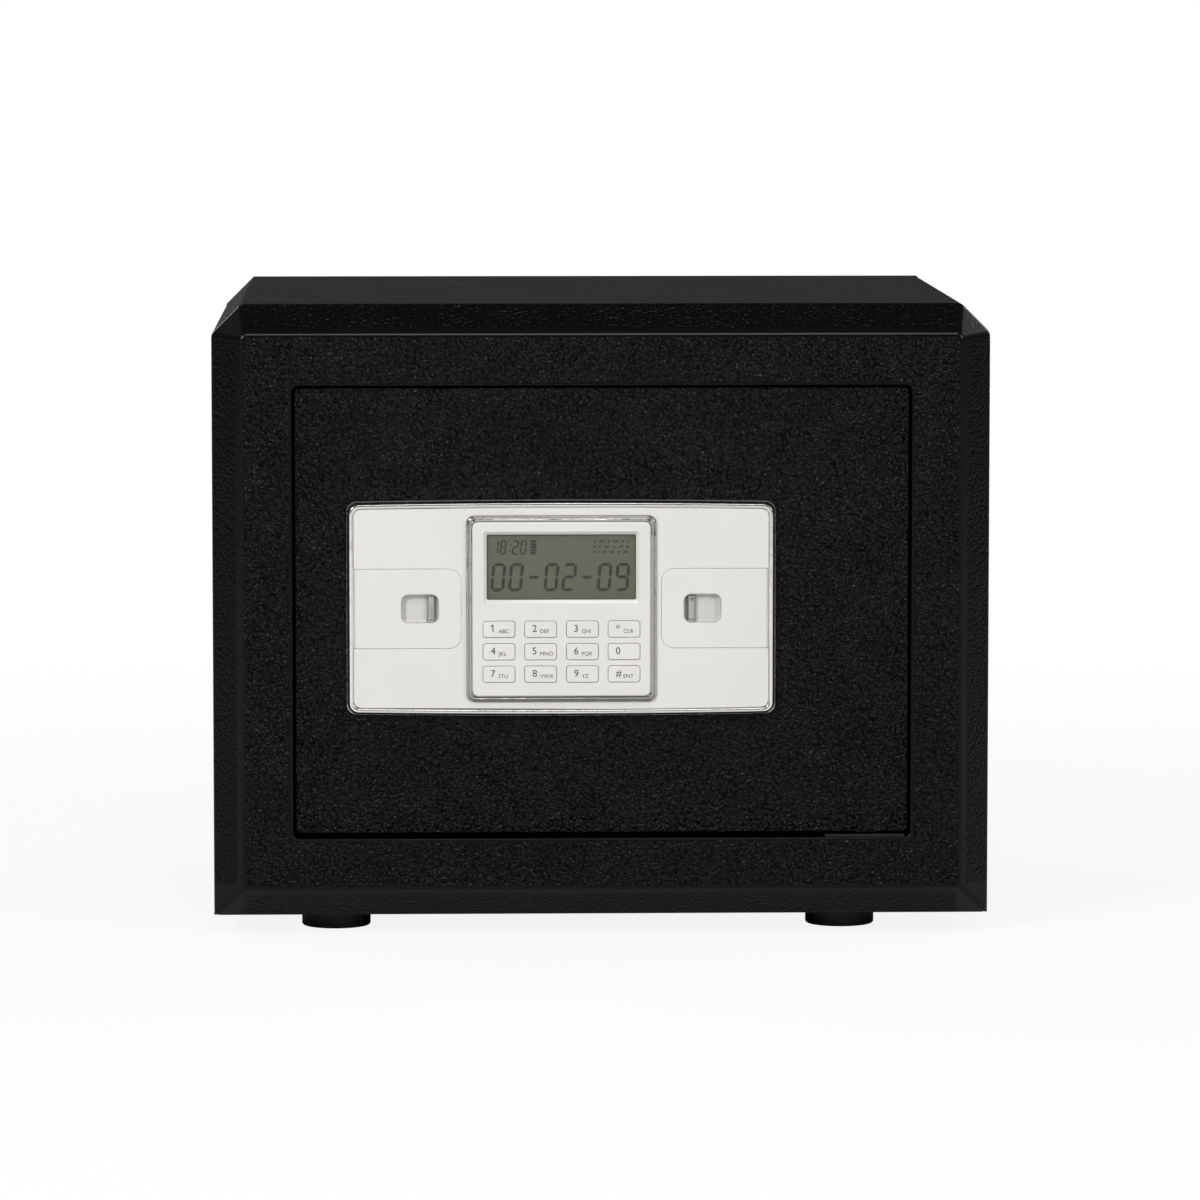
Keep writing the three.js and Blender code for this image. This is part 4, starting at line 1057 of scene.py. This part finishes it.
class SAFE_OT_flaps(Operator):
    """Make the two hinged flaps with their finger dishes and bars"""

    bl_idname = "safe.flaps"
    bl_label = "Flaps"

    def execute(self, context):
        for side, name in ((-1, "left"), (1, "right")):
            self.flap(side, name)
        return {"FINISHED"}

    def flap(self, side, name):
        """A shell with an opening for the dish, its knuckle and stubs, and the bowl of the dish."""
        node = f"flap_{name}"
        low, high = extent(node)
        front = low[1]
        middle_z = (low[2] + high[2]) / 2
        free_x = high[0] if side < 0 else low[0]
        hinge_x = low[0] + KNUCKLE if side < 0 else high[0] - KNUCKLE
        z = (middle_z - FLAP_HEIGHT / 2, middle_z + FLAP_HEIGHT / 2)
        x = sorted((free_x, hinge_x))
        ends = [FLAP_CORNER if (side < 0) == right else 0.15 for right in (True, True, False, False)]
        dish_x = free_x + side * (DISH_FROM_FREE + DISH[0] / 2)
        dish = (np.array([dish_x - DISH[0] / 2, middle_z - DISH[1] / 2]),
                np.array([dish_x + DISH[0] / 2, middle_z + DISH[1] / 2]))
        plane = ((x[0], z[0]), (x[1], z[1]))
        rear, floor, brim = front + FLAP_SHEET, front + DISH_DEPTH, front + 0.15
        opening = DISH_GAP, DISH_CORNER + DISH_GAP
        shell = wall([
            (*dish, *opening, rear, 0.1), (*plane, FLAP_GROWTH, ends, rear, 0.15),
            (*plane, FLAP_GROWTH, ends, front, 0.2), (*dish, *opening, front, 0.3)], ring=True, fill=3)
        bowl = wall([(*dish, by, max(DISH_CORNER + by, DISH_SHEET), depth, edge) for by, depth, edge in (
            (-4, floor + DISH_SHEET, 0), (DISH_SHEET, floor + DISH_SHEET, 1.2), (DISH_SHEET, rear, 0.2),
            (0.18, rear, 0.1), (0.18, brim, 0.05), (0, brim, 0.12), (-0.35, floor, 1.2), (-4, floor, 0))],
            fill=3)
        axis = (hinge_x, front + KNUCKLE, 0)
        knuckle, stubs = (
            lathe([(0, start, 0), (radius, start, 0.15), (radius, end, 0.15), (0, end, 0)], axis, 2, segments)
            for radius, start, end, segments in ((KNUCKLE, *z, 24), (STUB, low[2], high[2], 16)))
        replace(node, [shell, knuckle, stubs])
        # The bowl's darker silver is painted shade of the recess.
        put(f"finger_dish_{name}", mesh_of("finger_dish", [bowl]), dish_silver, "pearl_silver", node)
        self.finger_bar(side, name, dish, floor)

    def finger_bar(self, side, name, dish, floor):
        """The bar across the dish: a lathed rod with a collar at both ends, drawn out sideways to an oval and
        fluted, as its breadth is scaled by 1 + FLUTE * cos(6 a) at the angle a about its axis."""
        near = dish[1][0] if side < 0 else dish[0][0]
        low, high = dish[0][1] + 0.1, dish[1][1] - 0.1
        collar, waist = BAR_RADII
        profile = [
            (0, low, 0), (collar, low, 0.3), (collar, low + 1.1, 0.2), (waist, low + 1.5, 0.2),
            (waist, high - 1.5, 0.2), (collar, high - 1.1, 0.2), (collar, high, 0.3), (0, high, 0)]
        points, faces = lathe(profile, (0, 0, 0), 2, segments=72)
        flutes = 1 + FLUTE * np.cos(6 * np.arctan2(points[:, 1], points[:, 0]))
        breadth = np.stack([BAR_OVAL * flutes, flutes, np.ones(len(points))], -1)
        placed = points * breadth + (near + side * BAR_FROM_END, floor - BAR_OVER_FLOOR, 0)
        put(f"finger_bar_{name}", mesh_of("finger_bar", [(placed, faces)]), trim_chrome, "chrome_trim",
            f"flap_{name}")


BEZEL_MARGIN = 3.0  # how far the trim reaches beyond the keypad's housing
UNIT_CORNER = 2.5


class SAFE_OT_keypad(Operator):
    """Make the keypad housing and its plated trim"""

    bl_idname = "safe.keypad"
    bl_label = "Keypad housing"

    def execute(self, context):
        refine("keypad_case", sizes()["trim_edge"], 3)
        low, high = extent("keypad_bezel")
        panel_front = extent("panel_face")[0][1]
        corners = grown(low[[0, 2]], high[[0, 2]], -BEZEL_MARGIN)
        section = [  # how far out of the housing, how proud of the panel, and how rounded there
            (3.0, 0, 0.1), (2.9, 0.9, 0.3), (2.35, 1.5, 0.3), (1.95, 1.2, 0.2), (1.3, 2.4, 0.3),
            (0.8, 3.2, 0.3), (0.25, 3.0, 0.15), (0.2, 0, 0.1)]
        rows = [
            (*corners, by, UNIT_CORNER + by / 2, panel_front - proud, edge) for by, proud, edge in section]
        replace("keypad_bezel", [wall(rows, ring=True)], finish=trim_chrome)
        return {"FINISHED"}


DISPLAY_BORDER = 1.75  # of the display that the housing hides
DISPLAY_PROUD = 0.05  # how far the digits stand out of the glass, and reach into it
DISPLAY_TEXTS = (  # text, place in the seen field, size and stroke of a digit, and step to the next
    ("00-02-09", (1.6, 3.9), (6.85, 13.9), 1.55, 8.62),
    ("18", (2.4, 21.8), (3.1, 7.2), 0.8, 3.7),
    ("20", (12.1, 21.8), (3.1, 7.2), 0.8, 3.8),
)


class SAFE_OT_display(Operator):
    """Make the display's window, its glass and what it shows"""

    bl_idname = "safe.display"
    bl_label = "Display"

    def execute(self, context):
        for node, edge in (("display_window", 0.15), ("display_module", 0.2)):
            low, high = extent(node)
            replace(node, [plate(low[[0, 2]], high[[0, 2]], 0.8, (low[1], high[1]), (edge, edge))])
        corner = low[[0, 2]] + DISPLAY_BORDER
        polygons = [digits(text, corner + spot, *look) for text, spot, *look in DISPLAY_TEXTS]
        polygons.append(self.marks(*corner))
        surfaces = [prisms(group, low[1] - DISPLAY_PROUD, low[1] + DISPLAY_PROUD) for group in polygons]
        put("display_digits", mesh_of("display_digits", surfaces), display_ink, "liquid_crystal", "door")
        return {"FINISHED"}

    def marks(self, left, bottom):
        """The clock's two points, a column of five blocks beside it, and three broken rows of ticks."""
        points = rectangles(left + np.array([10.9, 11.2]), bottom + np.array([23.4, 26.2]), 0.7, 0.8)
        blocks = rectangles(np.full(5, left + 21.2), bottom + 22.0 + np.arange(5) * 1.45, 2.9, 1.15)
        tick = np.arange(42)
        column, row = tick % 14, tick // 14
        ticks = rectangles(left + 51.5 + column * 1.35 + row * 0.3, bottom + 22.6 + row * 2.6, 1.0, 0.95)
        return np.concatenate([points, blocks, ticks[tick * 7 % 12 < 7]])


def rectangles(x, z, width, height):
    """Rectangles of one size at many lower left corners, as polygons."""
    shape = np.array([(0, 0), (width, 0), (width, height), (0, height)])
    return np.stack([x, z], -1)[:, None] + shape


SEGMENTS = {
    "a": ((0, 1), (1, 1)), "b": ((1, 0.5), (1, 1)), "c": ((1, 0), (1, 0.5)), "d": ((0, 0), (1, 0)),
    "e": ((0, 0), (0, 0.5)), "f": ((0, 0.5), (0, 1)), "g": ((0, 0.5), (1, 0.5)),
}
DIGITS = {
    "0": "abcdef", "1": "bc", "2": "abdeg", "3": "abcdg", "4": "bcfg", "5": "acdfg", "6": "acdefg",
    "7": "abc", "8": "abcdefg", "9": "abcdfg", "-": "g",
}
DIGIT_SLANT = math.tan(math.radians(5))


def digits(text, spot, size, stroke, pitch):
    """Seven-segment digits as polygons. A segment is a bar with pointed ends along its centre line, a stroke
    thick and a little short; the whole leans: x grows by the slant times the height above the base line."""
    bars = [
        np.array(SEGMENTS[name]) * np.subtract(size, stroke) + (index * pitch, 0)
        for index, letter in enumerate(text) for name in DIGITS[letter]]
    start, end = np.array(bars).transpose(1, 0, 2)
    along = unit(end - start)
    across = np.stack([-along[:, 1], along[:, 0]], -1)
    gap, half = 0.12 * stroke, stroke / 2
    ends = [
        start + along * gap, start + along * (gap + half) + across * half,
        end - along * (gap + half) + across * half, end - along * gap,
        end - along * (gap + half) - across * half, start + along * (gap + half) - across * half]
    polygons = np.stack(ends, 1)
    polygons[..., 0] += polygons[..., 1] * DIGIT_SLANT
    return polygons + spot + stroke / 2


KEY_MARKS = (
    (("1", "ABC"), ("2", "DEF"), ("3", "GHI"), ("*", "CLR")),
    (("4", "JKL"), ("5", "MNO"), ("6", "PQR"), ("0", "")),
    (("7", "STU"), ("8", "VWX"), ("9", "YZ"), ("#", "ENT")),
)
KEY_FLANGE = 0.9  # how far the flange under the housing stands out
KEY_FLANGE_FROM = 1.9  # from the housing's front to the flange
KEY_FLANGE_SHEET = 0.6
KEY_CORNER = 1.2
KEY_SWELL = 3.7  # how far in from the edge the face swells
MARK_PROUD = 0.02
DIGIT_SPOT = (3.7, 2.7)  # from the key's lower left corner
LETTER_SPOT = (7.4, 2.1)
FLAGGED_ONE = np.array([  # the font's own 1 is a plain bar
    (0.22, 0), (0.36, 0), (0.36, 1), (0.25, 1), (0.0, 0.84), (0.0, 0.7), (0.22, 0.8)])


class SAFE_OT_keys(Operator):
    """Make the twelve keys and their digits and letters"""

    bl_idname = "safe.keys"
    bl_label = "Keys"

    def execute(self, context):
        size = sizes()
        for row, marks in enumerate(KEY_MARKS, 1):
            for column, (digit, letters) in enumerate(marks, 1):
                self.key(f"key_row{row}_column{column}", digit, letters, size)
        return {"FINISHED"}

    def key(self, node, digit, letters, size):
        """A cap whose loops shrink towards its middle, at the share s of the way there, while its face swells
        by crown * (1 - (1 - s) ** 2)."""
        low, high = extent(node)
        front, rear = low[1], high[1]
        corners = grown(low[[0, 2]], high[[0, 2]], -KEY_FLANGE)
        crown = size["key_crown"]
        flange = extent("keypad_case")[0][1] + KEY_FLANGE_FROM
        flange_rear, edge = flange + KEY_FLANGE_SHEET, front + crown + MARK_PROUD
        rows = [
            (-3.2, 0.1, rear, 0), (0, KEY_CORNER, rear, 0.2), (0, KEY_CORNER, flange_rear, 0.1),
            (KEY_FLANGE, KEY_CORNER, flange_rear, 0.1), (KEY_FLANGE, KEY_CORNER, flange, 0.1),
            (0, KEY_CORNER, flange, 0.1), (0, KEY_CORNER, edge, 0.42)]
        rows += [(-KEY_SWELL * s, max(KEY_CORNER - KEY_SWELL * s, 0.1), edge - crown * (1 - (1 - s) ** 2), 0)
                 for s in (0.25, 0.5, 0.75, 1.0)]
        replace(node, [wall([(*corners, *row) for row in rows])])
        proud = 2 * MARK_PROUD
        height, spot, face = size["digit_height"], corners[0] + DIGIT_SPOT, front + proud
        if digit == "1":
            solids = [prisms(FLAGGED_ONE[None] * height + spot, front, face + proud)]
        else:
            solids = [lettering(digit, height, spot, face, proud)]
        if letters:
            solids.append(lettering(letters, size["letter_height"], corners[0] + LETTER_SPOT, face, proud))
        put(f"{node}_marks", mesh_of("marks", solids), key_ink, "pearl_silver", body_name(node))


BOLT_NOSE = 1.5  # cut off the bolt's end at 45 degrees
TIP_PROUD = 0.35  # of a brass tip over its stud


class SAFE_OT_boltwork(Operator):
    """Make the two bolts and finish the carriage, the studs and the gears"""

    bl_idname = "safe.boltwork"
    bl_label = "Boltwork"

    def execute(self, context):
        for node in ("bolt_upper", "bolt_lower"):
            low, high = extent(node)
            radius, centre = (high[2] - low[2]) / 2, (low + high) / 2
            profile = [
                (0, low[0], 0), (radius - BOLT_NOSE, low[0], 0.8), (radius, low[0] + BOLT_NOSE, 0.8),
                (radius, high[0], 0.3), (0, high[0], 0)]
            replace(node, [lathe(profile, (0, centre[1], centre[2]), 0, segments=64)])
        for node in ("bolt_carriage", "guide_stud_upper", "guide_stud_lower"):
            refine(node, 0.2)
        for node in ("gear_motor", "lock_barrel", "power_contacts"):
            refine(node, 0.3)
        refine("key_plug", 0.15)
        refine("motor_pinion", 0.1)
        self.contact_tips()
        return {"FINISHED"}

    def contact_tips(self):
        """Domed brass tips over the two studs of the contact block."""
        low, high = extent("power_contacts")
        middle, quarter = (low + high) / 2, (high[0] - low[0]) / 4
        tip = low[1] - TIP_PROUD
        profile = [
            (0, tip, 0), (2.2, tip, 0.9), (3.05, tip + 0.7, 0.4), (3.05, tip + 1.0, 0), (0, tip + 1.0, 0)]
        surfaces = [
            lathe(profile, (middle[0] + side * quarter, 0, middle[2]), 1) for side in (-1, 1)]
        put("contact_tips", mesh_of("contact_tips", surfaces), brass, "brass", "door")


LID_CORNER = 3.0
RIB_PROUD = 0.5
RIB_WIDTH = 1.1  # and the gap between two ribs
RIB_LENGTH = 28.0
RIB_FROM_END = 6.0
CELL_NUB = (2.7, 1.2)  # radius and height
BUTTON_RADIUS = 4.0
BUTTON_FLANGE_SHEET = 1.7


class SAFE_OT_electronics(Operator):
    """Make the battery lid, the cells and the reset button, and finish what lies behind the cover"""

    bl_idname = "safe.electronics"
    bl_label = "Battery and board"

    def execute(self, context):
        self.lid()
        self.cells()
        self.button()
        for node in ("battery_tray", "control_board", "keypad_board", "key_mat"):
            refine(node, 0.15)
        cable = frame["nodes"]["cable_loom"]
        cable.data.materials.clear()
        cable.data.materials.append(material(rubber_black))
        return {"FINISHED"}

    def lid(self):
        """A round-cornered lid with seven grip ribs across its sliding end."""
        low, high = extent("battery_lid")
        face = high[1] - RIB_PROUD
        base = plate(low[[0, 2]], high[[0, 2]], LID_CORNER, (low[1], face), (0.15, 0.5))
        middle = (low[2] + high[2]) / 2
        width, half = RIB_WIDTH, RIB_LENGTH / 2
        ribs = [
            plate((x, middle - half), (x + width, middle + half), 0.5, (face - 0.3, high[1]), (0.1, 0.35),
                  steps=3)
            for x in high[0] - RIB_FROM_END - 2 * width * np.arange(7)]
        replace("battery_lid", [base] + ribs)

    def cells(self):
        """Each cell is a sleeve drawn in at its ends, with a rim at the flat end and a nub at the other."""
        for index in range(1, 5):
            node = f"battery_cell_{index}"
            low, high = extent(node)
            way = 1 if index % 2 else -1
            ends = (low[0], high[0])[::way]
            radius, centre = (high[2] - low[2]) / 2, (low + high) / 2
            rim, shoulder = radius - 1.6, ends[1] - way * CELL_NUB[1]
            profile = [
                (0, ends[0], 0), (rim, ends[0], 0.1), (radius, ends[0] + way * 0.3, 0.3),
                (radius, shoulder, 0.5), (rim, shoulder, 0.1), (CELL_NUB[0], shoulder, 0.1),
                (CELL_NUB[0], ends[1], 0.4), (0, ends[1], 0)]
            replace(node, [lathe(profile, (0, centre[1], centre[2]), 0, segments=40)])

    def button(self):
        """A round button with a flange that keeps it behind the cover and a shallow hollow in its face."""
        low, high = extent("reset_button")
        centre, flange = (low + high) / 2, (high[0] - low[0]) / 2
        radius, face = BUTTON_RADIUS, extent("door_back_cover")[1][1] - 1.5
        rear = face - BUTTON_FLANGE_SHEET
        profile = [
            (0, low[1], 0), (radius, low[1], 0.3), (radius, rear, 0.1), (flange, rear, 0.1),
            (flange, face, 0.1), (radius, face, 0.1), (radius, high[1], 0.5), (radius * 0.8, high[1], 0.5),
            (0, high[1] - 0.35, 0)]
        replace("reset_button", [lathe(profile, (centre[0], 0, centre[2]), 1)])


class SAFE_PT_tools(Panel):
    """Lists the makers of the safe's pieces and what can be changed"""

    bl_label = "Home Safe"
    bl_idname = "SAFE_PT_tools"
    bl_space_type = "VIEW_3D"
    bl_region_type = "UI"
    bl_category = "Home Safe"

    def draw(self, context):
        for maker in MAKERS:
            self.layout.operator(maker.bl_idname)
        for group in (context.scene.safe_sizes, context.scene.safe_colours, context.scene.safe_studio):
            column = self.layout.column()
            for name in group.__annotations__:
                column.prop(group, name)


GROUPS = (SafeSizes, SafeColours, SafeStudio)
MAKERS = (
    SAFE_OT_stage, SAFE_OT_body, SAFE_OT_feet, SAFE_OT_door, SAFE_OT_panel, SAFE_OT_flaps,
    SAFE_OT_keypad, SAFE_OT_display, SAFE_OT_keys, SAFE_OT_boltwork, SAFE_OT_electronics,
)
CLASSES = GROUPS + MAKERS + (SAFE_PT_tools,)


def register():
    for kind in CLASSES:
        bpy.utils.register_class(kind)
    bpy.types.Scene.safe_sizes = PointerProperty(type=SafeSizes)
    bpy.types.Scene.safe_colours = PointerProperty(type=SafeColours)
    bpy.types.Scene.safe_studio = PointerProperty(type=SafeStudio)


def unregister():
    del bpy.types.Scene.safe_sizes
    del bpy.types.Scene.safe_colours
    del bpy.types.Scene.safe_studio
    for kind in reversed(CLASSES):
        bpy.utils.unregister_class(kind)


def main():
    register()
    bpy.ops.safe.stage()
    bpy.ops.safe.body()
    bpy.ops.safe.feet()
    bpy.ops.safe.door()
    bpy.ops.safe.panel()
    bpy.ops.safe.flaps()
    bpy.ops.safe.keypad()
    bpy.ops.safe.display()
    bpy.ops.safe.keys()
    bpy.ops.safe.boltwork()
    bpy.ops.safe.electronics()


if __name__ == "__main__":
    main()
